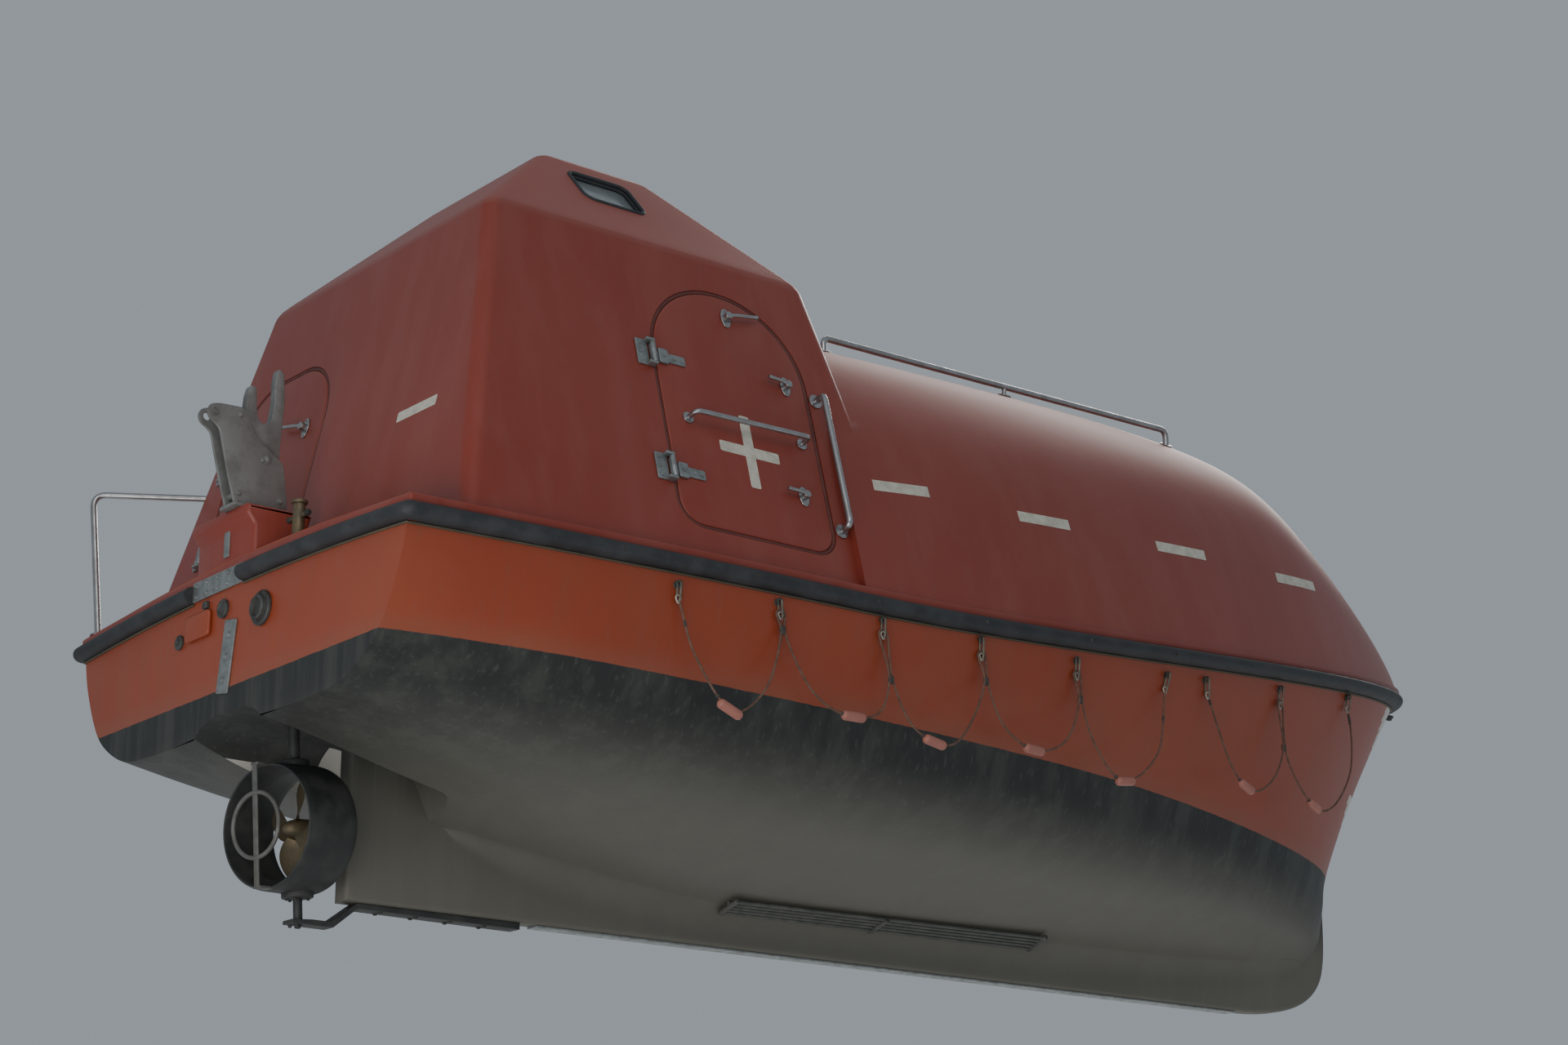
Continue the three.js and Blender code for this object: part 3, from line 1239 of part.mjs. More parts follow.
function buildRails() {
  [["port", 1], ["starboard", -1]].forEach(([side, sign]) => {
    const y = sign * ROOF_RAIL.y;
    const foot = (x) => archZ(x, y) - 20;
    const top = (x) => ROOF_RAIL.topZ + ROOF_RAIL.climb * runAhead(x, ROOF_RAIL.x0, ROOF_RAIL.x1);
    const rail = tube([
      [ROOF_RAIL.x0, y, foot(ROOF_RAIL.x0)],
      [ROOF_RAIL.x0, y, top(ROOF_RAIL.x0)],
      [ROOF_RAIL.x1, y, top(ROOF_RAIL.x1)],
      [ROOF_RAIL.x1, y, foot(ROOF_RAIL.x1)],
    ], ROOF_RAIL.radius, ROOF_RAIL.bend);
    const middle = ROOF_RAIL.xMid;
    const post = rod([middle, y, foot(middle)], [middle, y, top(middle)], ROOF_RAIL.radius - 4, 10);
    const arch = archBody(0, 0, ARCH_STEPS);
    addPart(`roof_rail_${side}`, seated(joined(rail, post), arch, [0, 0, SEAT_GAP]), "stainless");
  });
  const { low, high, out, radius, bend } = SIDE_RAIL;
  const grip = (x) => [[x, low, SEAT_GAP], [x, low, out], [x, high, out], [x, high, SEAT_GAP]];
  addPart("side_rail_starboard", tube(grip(SIDE_RAIL.x), radius, bend), "stainless", starboardWall);
  addPart("side_rail_port", tube(grip(-SIDE_RAIL.x), radius, bend), "stainless", portWall);
  const foot = [...AFT_RAIL.foot, GUNWALE.transomZ - 10];
  const aftRail = tube([foot, AFT_RAIL.top, AFT_RAIL.end], AFT_RAIL.radius, AFT_RAIL.bend, 12);
  const trimmed = seated(aftRail, outlineStack(cabinLevels(0)), [-SEAT_GAP, SEAT_GAP, 0]);
  addPart("aft_rail", seatedOnDeck(trimmed), "stainless");
}

// Grab lines: the routes for the starboard side, from aft forward

const AFT_GRAB_LINE = [
  [1195, 1017],
  [1273, 818], [1456, 630], [1607, 739],
  [1683, 992], [1661, 1054], [1673, 1068], [1691, 1068], [1703, 1054], [1701, 992],
  [1839, 772], [1991, 704], [2179, 735],
  [2238, 885], [2186, 1066], [2198, 1080], [2216, 1080], [2228, 1066], [2256, 885],
  [2377, 703], [2592, 675],
  [2772, 970], [2736, 1074], [2748, 1088], [2766, 1088], [2778, 1074], [2790, 970],
  [2883, 799], [3065, 727], [3262, 795],
  [3360, 998], [3329, 1099], [3341, 1113], [3359, 1113], [3371, 1099], [3378, 998],
  [3445, 831], [3634, 688], [3894, 850],
  [3962, 1137],
];
const FORE_GRAB_LINE = [
  [4302, 1178],
  [4330, 1128], [4393, 1022], [4470, 908], [4577, 832], [4680, 821], [4795, 870], [4890, 955],
  [4952, 1080], [4920, 1279], [4932, 1293], [4950, 1293], [4962, 1279], [4970, 1080],
  [5010, 1005], [5121, 915], [5254, 856], [5361, 854], [5480, 903], [5600, 1000], [5690, 1115],
  [5720, 1240], [5716, 1340],
  [5696, 1407],
];

// Off the skin at the pegs, and in straight lines in plan between them
function ropeY(x, pegs) {
  const next = Math.min(pegs.length - 1, Math.max(1, pegs.findIndex(([pegX]) => pegX >= x)));
  const [x0, z0] = pegs[next - 1];
  const [x1, z1] = pegs[next];
  const y0 = skinY(x0, z0) + ROPE.out;
  const y1 = skinY(x1, z1) + ROPE.out;
  return y0 + (y1 - y0) * Math.min(1, Math.max(0, (x - x0) / (x1 - x0)));
}

function buildGrabLines() {
  const lines = [["aft", AFT_GRAB_LINE, AFT_PEGS], ["fore", FORE_GRAB_LINE, FORE_PEGS]];
  lines.forEach(([name, route, pegs]) => {
    [["port", 1], ["starboard", -1]].forEach(([side, sign]) => {
      const points = route.map(([x, z]) => new THREE.Vector3(x, sign * ropeY(x, pegs), z));
      const curve = new THREE.CatmullRomCurve3(points, false, "centripetal");
      const knots = curve.getPoints(ROPE.steps * (points.length - 1));
      addPart(`grab_line_${name}_${side}`, tubeAlong(knots, ROPE.radius, ROPE.sides), "dark_rope");
    });
  });
}

buildHull();
buildKeelShoe();
buildCooler();
buildNozzle();
buildPropeller();
buildSolePiece();
buildEngine();
buildCanopy();
buildDoors();
buildWindows();
buildHatch();
buildFenders();
buildTransomFittings();
buildBowPin();
buildPainterEye();
buildHooks();
buildMooringPost();
buildRails();
buildGrabLines();

const group = new THREE.Group();
group.add(boat);
export default group;
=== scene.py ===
"""The looks of an enclosed ship's lifeboat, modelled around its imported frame.

Lengths are metres. Pieces are worked out from the transom (x = 0) and the keel line (z = 0), with
x to the bow, y to port and z up, and are then moved by -ORIGIN into the frame, whose origin is on
the centreline, amidships, at the waterline.
"""
import math

import bpy
import numpy as np
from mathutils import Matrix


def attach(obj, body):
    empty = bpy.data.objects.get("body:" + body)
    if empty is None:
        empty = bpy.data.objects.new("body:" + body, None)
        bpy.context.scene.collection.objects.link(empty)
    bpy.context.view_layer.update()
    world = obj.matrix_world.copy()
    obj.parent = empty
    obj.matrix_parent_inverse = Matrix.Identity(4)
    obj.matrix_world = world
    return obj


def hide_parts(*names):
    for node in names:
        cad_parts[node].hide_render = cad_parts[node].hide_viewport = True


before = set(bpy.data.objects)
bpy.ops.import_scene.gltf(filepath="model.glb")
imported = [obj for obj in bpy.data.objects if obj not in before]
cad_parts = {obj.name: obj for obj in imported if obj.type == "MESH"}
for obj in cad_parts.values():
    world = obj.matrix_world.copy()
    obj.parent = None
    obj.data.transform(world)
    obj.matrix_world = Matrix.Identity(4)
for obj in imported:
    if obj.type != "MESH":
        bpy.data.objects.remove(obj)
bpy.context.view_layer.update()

ORIGIN = np.array([3.430, 0.0, 0.600])

# Driving dimensions of the hull, from the keel up to the gunwale, one row for each of its lines:
# where it meets the stem (x, z), its breadth and height amidships and at the transom, where it
# is broadest, and the two powers of its curve in plan from there to the stem
LINE_COLUMNS = ("stem_x", "stem_z", "mid_y", "mid_z", "transom_y", "transom_z", "broad_x", "bow", "tip")
HULL_LINES = np.array([
    (6.095, 0.215, 0.055, 0.130, 0.055, 0.600, 1.200, 2.0, 0.60),
    (6.130, 0.330, 0.640, 0.292, 0.600, 0.588, 1.500, 2.0, 0.85),
    (6.137, 0.440, 0.960, 0.415, 0.860, 0.612, 1.300, 2.0, 0.72),
    (6.137, 0.560, 1.110, 0.545, 0.985, 0.668, 1.100, 2.0, 0.66),
    (6.140, 0.705, 1.195, 0.745, 1.095, 0.752, 1.000, 2.0, 0.62),
    (6.420, 1.190, 1.255, 0.970, 1.215, 0.960, 1.700, 2.1, 0.72),
    (6.820, 1.782, 1.285, 1.240, 1.280, 1.205, 2.200, 2.2, 0.77),
])
LINE = {name: HULL_LINES[:, i] for i, name in enumerate(LINE_COLUMNS)}
SHEER_X, SHEER_POWER = 2.200, 1.6
RUN_X, RUN_POWER = 2.400, 1.8
STEM_HALF = 0.016
HULL_WALL, CANOPY_WALL, BENCH_Z = 0.060, 0.050, 0.790
DECK_RISE, DECK_LEVEL_X, DECK_END_X = 0.060, 0.300, 1.500
DECK_SHARES = np.array([0.875, 0.75, 0.625, 0.5, 0.375, 0.25, 0.125])
KEEL_HALF, KEEL_HEEL_X, KEEL_HEEL_Z = 0.046, 0.525, -0.025
KEEL_FORE_X, KEEL_FORE_Z = 5.550, 0.012

# Stern gear: the shaft falls a little on its way aft, the stock stands square to it, and the
# nozzle rests turned a little about the stock
STOCK_X, SHAFT_Z, TUNNEL_ROOF_Z, PALM_Z = 0.322, 0.235, 0.655, -0.113
SHAFT_TILT, NOZZLE_TURN = math.radians(4.5), math.radians(13.5)

# Canopy: the arch ahead, whose ridge climbs and then falls, each run given by where it starts,
# its slope and its rounding, and the cabin aft, whose levels are rounded rectangles
RIDGE_Z = 2.768
RIDGE_CLIMB, RIDGE_FALL = (4.300, 0.047, 0.500), (5.395, 0.685, 0.300)
ARCH_X0, ARCH_X1, ARCH_LEAN, ARCH_ROUND, ARCH_TIP = 2.125, 6.780, 0.3, 4, 0.45
FOOT_TRIM, FOOT_INSET = 0.0197, 0.003
CABIN_LEVELS = np.array([
    (1.150, 0.232, 2.512, 1.269, 0.065),
    (1.203, 0.244, 2.500, 1.254, 0.065),
    (2.640, 0.560, 2.160, 0.856, 0.065),
    (2.668, 0.576, 2.142, 0.842, 0.065),
    (2.700, 0.608, 2.110, 0.815, 0.062),
    (3.130, 1.078, 1.650, 0.430, 0.045),
    (3.150, 1.110, 1.618, 0.400, 0.040),
])


# Arrays and meshes


def grid_faces(rows, columns, wrap=False, loop=False):
    """Quads of a grid of points: every point with its next in the row and in the next row. The
    rows close on themselves with wrap, and the last row meets the first with loop."""
    r, c = np.meshgrid(np.arange(rows if loop else rows - 1), np.arange(columns if wrap else columns - 1),
                       indexing="ij")
    near, far = r * columns, (r + 1) % rows * columns
    after = (c + 1) % columns
    quads = np.stack([near + c, near + after, far + after, far + c], -1)
    return quads.reshape(-1, 4).tolist()


def shell(grid, caps=True):
    """A closed body from a grid of points whose rows are rings: each end ring is one face, or
    without caps the last ring meets the first."""
    rows, columns = grid.shape[:2]
    faces = grid_faces(rows, columns, wrap=True, loop=not caps)
    if caps:
        faces.append(list(range(columns))[::-1])
        faces.append(list(range((rows - 1) * columns, rows * columns)))
    return grid.reshape(-1, 3), faces


def signed_volume(points, faces):
    """Sum over each face's edges of first corner . (edge start x edge end), over six."""
    sizes = np.array([len(face) for face in faces])
    loops = np.concatenate(faces)
    starts = np.cumsum(sizes) - sizes
    first = np.repeat(loops[starts], sizes)
    after = np.roll(loops, -1)
    after[starts + sizes - 1] = loops[starts]
    return float(np.sum(points[first] * np.cross(points[loops], points[after]))) / 6


def moved(part, matrix, origin):
    """A part's points turned by a 3 x 3 matrix whose columns are its axes, then moved."""
    points, faces = part
    return points @ np.asarray(matrix, float).T + np.asarray(origin, float), faces


def mesh_of(name, parts):
    """One mesh from closed parts, each turned outwards by the sign of its volume."""
    points, faces, first = [], [], 0
    for vertices, polygons in parts:
        turn = 1 if signed_volume(vertices - vertices.mean(0), polygons) > 0 else -1
        points.append(vertices)
        faces.extend([[v + first for v in polygon[::turn]] for polygon in polygons])
        first += len(vertices)
    mesh = bpy.data.meshes.new(name)
    mesh.from_pydata((np.concatenate(points) - ORIGIN).tolist(), [], faces)
    return mesh


def finish_piece(piece, material, body, replaces=(), sharp=35.0):
    """Smooth shading with crisp edges, the material, and the body that the piece rides on."""
    piece.data.shade_smooth()
    piece.data.set_sharp_from_angle(angle=math.radians(sharp))
    if material is not None:
        piece.data.materials.clear()
        piece.data.materials.append(material)
    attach(piece, body)
    if replaces:
        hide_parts(*replaces)
    return piece


def add_piece(name, parts, material, body, replaces=(), sharp=35.0):
    """A finished piece from closed parts in keel coordinates."""
    piece = bpy.data.objects.new(name, mesh_of(name, parts))
    bpy.context.scene.collection.objects.link(piece)
    return finish_piece(piece, material, body, replaces, sharp)


def solid(name, parts):
    """A loose object from closed parts, to be joined with or cut by another."""
    piece = bpy.data.objects.new(name, mesh_of(name, parts))
    bpy.context.scene.collection.objects.link(piece)
    return piece


def worked(base, tools, operation):
    """The base after a boolean with each tool in turn; the tools are used up."""
    for tool in tools:
        step = base.modifiers.new("step", "BOOLEAN")
        step.operation = operation
        step.solver = "MANIFOLD"
        step.object = tool
        bpy.context.view_layer.update()
        result = base.evaluated_get(bpy.context.evaluated_depsgraph_get())
        mesh = bpy.data.meshes.new_from_object(result)
        base.modifiers.clear()
        base.data = mesh
        bpy.data.objects.remove(tool)
    return base


# Curves and sections


def bend(points, radius, steps=6):
    """Straight runs with each corner rounded by a quadratic curve that starts radius before it."""
    points = np.asarray(points, float)
    path = [points[:1]]
    t = np.linspace(0, 1, steps + 1)[:, None]
    for before, corner, after in zip(points[:-2], points[1:-1], points[2:]):
        back, ahead = before - corner, after - corner
        reach = min(radius, 0.49 * np.linalg.norm(back), 0.49 * np.linalg.norm(ahead))
        start = corner + back * reach / np.linalg.norm(back)
        end = corner + ahead * reach / np.linalg.norm(ahead)
        path.append((1 - t) ** 2 * start + 2 * t * (1 - t) * corner + t ** 2 * end)
    path.append(points[-1:])
    return np.concatenate(path)


def unit(vectors):
    return vectors / np.linalg.norm(vectors, axis=-1, keepdims=True)


def swept(path, section, normal, closed=False):
    """A section carried along a path: its first axis lies along side = tangent x normal and its
    second along side x tangent, so it stays square to the path."""
    path = np.asarray(path, float)
    if closed:
        tangent = unit(np.roll(path, -1, 0) - np.roll(path, 1, 0))
    else:
        tangent = unit(np.gradient(path, axis=0))
    side = unit(np.cross(tangent, np.asarray(normal, float)))
    up = np.cross(side, tangent)
    section = np.asarray(section, float)
    grid = path[:, None] + section[None, :, :1] * side[:, None] + section[None, :, 1:] * up[:, None]
    return shell(grid, caps=not closed)


def circle(radius, sides=16):
    angle = np.linspace(0, 2 * np.pi, sides, endpoint=False)
    return np.stack([np.cos(angle), np.sin(angle)], 1) * radius


def hoop(centre, radius, across, up, sides):
    """Points round a circle in the plane of two directions."""
    ring = circle(radius, sides)
    return np.asarray(centre, float) + ring[:, :1] * np.array(across) + ring[:, 1:] * np.array(up)


def tube(points, radius, bend_radius=0.0, normal=(0, 1, 0), sides=16, steps=8):
    """A round tube along straight runs with rounded corners."""
    path = bend(points, bend_radius, steps) if bend_radius else np.asarray(points, float)
    return swept(path, circle(radius, sides), normal)


def turned(profile, start, axis, sides=40):
    """A profile of (distance along the axis, radius) turned about that axis."""
    profile = np.asarray(profile, float)
    axis = unit(np.asarray(axis, float))
    other = np.array([0.0, 0.0, 1.0]) if abs(axis[2]) < 0.9 else np.array([1.0, 0.0, 0.0])
    side = unit(np.cross(axis, other))
    up = np.cross(axis, side)
    ring = circle(1.0, sides)
    grid = (np.asarray(start, float) + profile[:, None, :1] * axis
            + profile[:, None, 1:] * (ring[None, :, :1] * side + ring[None, :, 1:] * up))
    return shell(grid)


def ring_turned(profile, start, axis, sides=48):
    """A closed profile off the axis turned about it: a ring with no ends."""
    profile = np.asarray(profile, float)
    points, _ = turned(profile, start, axis, sides)
    return shell(points.reshape(len(profile), sides, 3), caps=False)


def pin(start, end, radius, ease=0.12, sides=20):
    """A cylinder between two points with eased rims."""
    start, end = np.asarray(start, float), np.asarray(end, float)
    length = np.linalg.norm(end - start)
    e = min(radius * ease, length * 0.3)
    profile = [(0, radius - e), (e * 0.3, radius - e * 0.3), (e, radius), (length - e, radius),
               (length - e * 0.3, radius - e * 0.3), (length, radius - e)]
    return turned(profile, start, end - start, sides)


def bolt(start, out, radius, height):
    """A hexagon head on a washer, standing out from a face."""
    start, out = np.asarray(start, float), unit(np.asarray(out, float))
    washer = turned([(0, radius * 1.35), (height * 0.25, radius * 1.35), (height * 0.3, radius * 1.2)],
                    start, out, 20)
    head = turned([(height * 0.2, radius), (height * 0.85, radius), (height, radius * 0.82)], start, out, 6)
    return [washer, head]


def bolt_ring(centre, out, across, up, radius, head, height, count=6):
    """Bolts evenly round a circle, the first half a step from the first direction."""
    parts = []
    for a in 2 * np.pi * (np.arange(count) + 0.5) / count:
        at = np.add(centre, radius * (math.cos(a) * np.array(across) + math.sin(a) * np.array(up)))
        parts += bolt(at, out, head, height)
    return parts


def inset(outline, distance):
    """A closed outline moved inwards, each corner along its mitre."""
    before = unit(outline - np.roll(outline, 1, 0))
    after = unit(np.roll(outline, -1, 0) - outline)
    normal = np.stack([-before[:, 1] - after[:, 1], before[:, 0] + after[:, 0]], 1)
    length = np.linalg.norm(normal, axis=1, keepdims=True)
    return outline + distance * 2 * normal / np.maximum(length, 0.7) ** 2


def plate(outline, low, high, ease=0.003, steps=3):
    """A plate with eased edges: the outline carried from its low to its high face, drawn in by a
    quarter circle at each rim. The outline runs anticlockwise."""
    outline = np.asarray(outline, float)
    ease = min(ease, (high - low) * 0.45)
    angle = np.linspace(0, np.pi / 2, steps + 1)
    rims = [(low + ease * (1 - math.cos(a)), ease * (1 - math.sin(a))) for a in angle]
    rims += [(high - ease * (1 - math.cos(a)), ease * (1 - math.sin(a))) for a in angle[::-1]]
    rings = []
    for level, distance in rims:
        flat = inset(outline, distance)
        rings.append(np.column_stack([flat, np.full(len(flat), level)]))
    return shell(np.array(rings))


def rounded(x0, x1, low, high, top, foot=None, steps=10):
    """A rectangle with its own radii at the top and the foot, anticlockwise."""
    foot = top if foot is None else foot
    corners = ((x1 - foot, low + foot, foot, -0.5), (x1 - top, high - top, top, 0.0),
               (x0 + top, high - top, top, 0.5), (x0 + foot, low + foot, foot, 1.0))
    arcs = []
    for cx, cy, radius, start in corners:
        angle = np.pi * (start + np.linspace(0, 0.5, steps + 1))
        arcs.append(np.stack([cx + radius * np.cos(angle), cy + radius * np.sin(angle)], 1))
    return np.concatenate(arcs)


def aft_plate(outline, low, high, ease=0.002, steps=3):
    """A plate drawn across the boat as (y, z), standing out aft from low to high."""
    points, faces = plate(outline, low, high, ease, steps)
    return points[:, [2, 0, 1]] * np.array([-1, 1, 1]), faces


def eased_outline(points, radius, steps=5):
    """A closed outline of straight runs with every corner rounded."""
    points = np.asarray(points, float)
    loop = np.concatenate([points[-1:], points, points[:1]])
    return bend(loop, radius, steps)[1:-1]


def box_part(x0, x1, y0, y1, z0, z1, ease=0.004, corner=0.006):
    """An eased block drawn as a plate whose edges are rounded."""
    return plate(rounded(x0, x1, y0, y1, corner, steps=3), z0, z1, ease)


def mirrored_loft(half):
    """A closed body from half rings that run outwards and up from the lowest line, mirrored to
    the other side. Each end is closed by strips between its two sides."""
    port = half[:, ::-1]
    starboard = half * np.array([1, -1, 1])
    grid = np.concatenate([port, starboard], 1)
    rows, around = grid.shape[:2]
    levels = half.shape[1]
    faces = grid_faces(rows, around, wrap=True)
    k = np.arange(levels - 1)
    strip = np.stack([levels - 1 - k, levels + k, levels + k + 1, levels - 2 - k], -1)
    faces.extend(strip[:, ::-1].tolist())
    faces.extend((strip + (rows - 1) * around).tolist())
    return grid.reshape(-1, 3), faces


def through(points, knots, samples):
    """A smooth curve through the points along the second axis: cubic pieces whose slope at a
    point is that of the chord between its neighbours."""
    knots = np.asarray(knots, float)
    slope = np.gradient(points, knots, axis=1)
    i = np.clip(np.searchsorted(knots, samples, side="right") - 1, 0, len(knots) - 2)
    width = (knots[i + 1] - knots[i])[None, :, None]
    t = ((samples - knots[i]) / (knots[i + 1] - knots[i]))[None, :, None]
    start, end = points[:, i], points[:, i + 1]
    return ((2 * t ** 3 - 3 * t ** 2 + 1) * start + (t ** 3 - 2 * t ** 2 + t) * width * slope[:, i]
            + (-2 * t ** 3 + 3 * t ** 2) * end + (t ** 3 - t ** 2) * width * slope[:, i + 1])


# Hull


def line_breadth(x, line=LINE):
    """Half breadth: full at its broadest, falling to the stem by (1 - ahead^bow)^tip, and drawn
    in towards the transom by the square of the way astern."""
    ahead = np.clip((x - line["broad_x"]) / (line["stem_x"] - line["broad_x"]), 0, 1)
    astern = np.clip(1 - x / line["broad_x"], 0, None)
    full = line["mid_y"] * (1 - ahead ** line["bow"]) ** line["tip"]
    return np.maximum(STEM_HALF, full - (line["mid_y"] - line["transom_y"]) * astern ** 2)


def line_height(x, line=LINE):
    """Height: level amidships, sweeping up to the stem and up or down to the transom by powers."""
    ahead = np.clip((x - SHEER_X) / (line["stem_x"] - SHEER_X), 0, 1)
    astern = np.clip(1 - x / RUN_X, 0, None)
    return (line["mid_z"] + (line["stem_z"] - line["mid_z"]) * ahead ** SHEER_POWER
            + (line["transom_z"] - line["mid_z"]) * astern ** RUN_POWER)


GUNWALE = {name: HULL_LINES[-1, i] for i, name in enumerate(LINE_COLUMNS)}
TOPSIDE_LINE = {name: HULL_LINES[-2, i] for i, name in enumerate(LINE_COLUMNS)}
KEEL_LINE = {name: HULL_LINES[0, i] for i, name in enumerate(LINE_COLUMNS)}
BILGE_LINE = {name: HULL_LINES[1, i] for i, name in enumerate(LINE_COLUMNS)}


def hull_skin(stations=150, levels=64):
    """Half rings of the outer skin: each line at its own share of the way to the stem, with a
    smooth curve through all the lines."""
    share = np.sin(np.linspace(0, np.pi / 2, stations + 1))[:, None]
    x = share * LINE["stem_x"]
    points = np.stack([x, line_breadth(x), line_height(x)], -1)
    run = np.linalg.norm(np.diff(points[stations // 3], axis=0), axis=1)
    knots = np.concatenate([[0], np.cumsum(run)])
    rings = through(points, knots, np.linspace(0, knots[-1], levels))
    rings[..., 1] = np.maximum(rings[..., 1], STEM_HALF)
    return rings


SKIN = hull_skin()


def skin_at(drop):
    """Points of the skin a given height below the gunwale, one on each ring."""
    upper = SKIN[:, -24:]
    wanted = upper[:, -1, 2] - drop
    return np.array([[np.interp(z, ring[:, 2], ring[:, k]) for k in range(3)] for z, ring in zip(wanted, upper)])


def deck_rows(edge):
    """Rows inboard of the gunwale: its breadth times each share, and its height plus the stern
    deck's camber, which is (1 - share^2) and fades out under the cabin."""
    fade = 1 - np.clip((edge[:, None, 0] - DECK_LEVEL_X) / (DECK_END_X - DECK_LEVEL_X), 0, 1)
    x = np.repeat(edge[:, None, 0], len(DECK_SHARES), 1)
    y = np.maximum(0.001, edge[:, None, 1] * DECK_SHARES)
    return np.stack([x, y, edge[:, None, 2] + DECK_RISE * fade * (1 - DECK_SHARES ** 2)], -1)


def bottom_z(x, y):
    """Height of the bottom skin beside the keel, straight between the two lowest lines."""
    inner, outer = line_breadth(x, KEEL_LINE), line_breadth(x, BILGE_LINE)
    low, high = line_height(x, KEEL_LINE), line_height(x, BILGE_LINE)
    return low + (high - low) * (np.abs(y) - inner) / (outer - inner)


def skin_y(x, z):
    """Half breadth of the hull at a station and a height, straight between the lines."""
    reached = LINE["stem_x"] > x
    heights, breadths = line_height(x)[reached], line_breadth(x)[reached]
    return float(np.interp(z, heights, breadths))


def keel_body():
    """The box keel and forefoot: its side outline with eased lower edges."""
    curve = np.linspace(0, 1, 14)[:, None]

    def cubic(a, b, c, d):
        return ((1 - curve) ** 3 * np.array(a) + 3 * curve * (1 - curve) ** 2 * np.array(b)
                + 3 * curve ** 2 * (1 - curve) * np.array(c) + curve ** 3 * np.array(d))

    forefoot = cubic((KEEL_FORE_X, KEEL_FORE_Z), (5.900, 0.020), (6.060, 0.110), (6.110, 0.240))
    stem = cubic((6.110, 0.240), (6.140, 0.330), (6.142, 0.420), (6.139, 0.620))[1:]
    outline = np.concatenate([[(KEEL_HEEL_X, 0.700), (KEEL_HEEL_X, KEEL_HEEL_Z)], forefoot, stem,
                              [(6.000, 0.620), (5.750, 0.300), (1.040, 0.300), (1.000, 0.700)]])
    points, faces = plate(outline, -KEEL_HALF, KEEL_HALF, ease=0.020, steps=5)
    return points[:, [0, 2, 1]] * np.array([1, -1, 1]), faces


def keel_fillets():
    """The soft hollow between keel and bottom on each side: a curve from the keel's side, upright
    there, to the bottom, with its width growing from nothing at both ends."""
    parts = []
    x = np.linspace(0.96, 5.95, 90)
    share = np.clip((x - x[0]) / 0.5, 0, 1) * np.clip((x[-1] - x) / 1.6, 0, 1)
    reach = (0.110 * np.sqrt(share) + 0.004)[:, None]
    t = np.linspace(0, 1, 9)[None]
    edge = bottom_z(x[:, None], KEEL_HALF)
    far = bottom_z(x[:, None], KEEL_HALF + reach)
    y = KEEL_HALF + t ** 2 * reach
    z = (1 - t) ** 2 * (edge - reach) + 2 * t * (1 - t) * edge + t ** 2 * (far + 0.001)
    inner_y = np.concatenate([y, KEEL_HALF + reach, np.full_like(reach, 0.020), np.full_like(reach, 0.020)], 1)
    inner_z = np.concatenate([z, far + 0.05, edge + 0.05, edge - reach], 1)
    for side in (1, -1):
        rings = np.stack([np.repeat(x[:, None], inner_y.shape[1], 1), side * inner_y, inner_z], -1)
        parts.append(shell(rings))
    return parts


def tunnel_body():
    """The room over the nozzle: a flat roof with round shoulders, closed ahead by a slope."""
    roof = TUNNEL_ROOF_Z
    profile = bend([(-0.060, roof), (0.640, roof), (0.770, 0.580), (0.930, 0.250)], 0.09, 6)
    low, half_y, flat_y = -0.200, 0.310, 0.070
    angle = np.linspace(0, np.pi / 2, 18)[1:]
    rings = []
    for x, z in profile:
        shoulder = min(0.170, (z - low) / 2)
        arc = np.stack([np.full_like(angle, x), flat_y + (half_y - flat_y) * np.cos(angle),
                        z - shoulder + shoulder * np.sin(angle)], -1)
        rings.append(np.concatenate([[(x, 0.010, low - 0.020), (x, half_y, low), (x, half_y, z - shoulder)], arc]))
    return mirrored_loft(np.array(rings))


def cavity_body(stations=30):
    """The room in the hull above the benches, a wall's thickness inside the skin."""
    rings = []
    for x in 0.330 + 5.870 * np.sin(np.linspace(0, np.pi / 2, stations)):
        top = float(line_height(x, GUNWALE))
        floor = BENCH_Z + max(0.0, x - 5.300) * 0.5
        rows = [(floor, floor), (top - 0.200, top - 0.200), (top - 0.001, top + 0.090)]
        rings.append([(x, max(0.020, skin_y(x, z) - HULL_WALL), level) for z, level in rows])
    return mirrored_loft(np.array(rings))


def paint_inside(piece, material, is_inside):
    """Gives the faces whose centre lies inside the lining material."""
    mesh = piece.data
    mesh.materials.append(material)
    centres = np.empty(len(mesh.polygons) * 3)
    normals = np.empty(len(mesh.polygons) * 3)
    mesh.polygons.foreach_get("center", centres)
    mesh.polygons.foreach_get("normal", normals)
    index = is_inside(centres.reshape(-1, 3) + ORIGIN, normals.reshape(-1, 3)).astype(np.int32)
    mesh.polygons.foreach_set("material_index", index)


def make_hull():
    hull = solid("hull_shell", [mirrored_loft(np.concatenate([SKIN, deck_rows(SKIN[:, -1])], 1))])
    worked(hull, [solid("tunnel", [tunnel_body()])], "DIFFERENCE")
    worked(hull, [solid("keel", [keel_body()])] + [solid("fillet", [f]) for f in keel_fillets()], "UNION")
    well = box_part(1.050, 5.150, -0.350, 0.350, 0.450, BENCH_Z + 0.060, 0.02, 0.03)
    worked(hull, [solid("cavity", [cavity_body()]), solid("well", [well])], "DIFFERENCE")
    finish_piece(hull, HULL_PAINT, "boat", ["hull"], 32)

    def is_inside(centre, normal):
        depth = np.array([skin_y(x, z) - abs(y) for x, y, z in centre])
        above_deck = centre[:, 2] > line_height(centre[:, 0], GUNWALE) - 0.004
        return (depth > 0.02) & (centre[:, 2] > 0.44) & (centre[:, 0] > 0.32) & ~above_deck & (normal[:, 2] > -0.9)

    paint_inside(hull, LINING, is_inside)


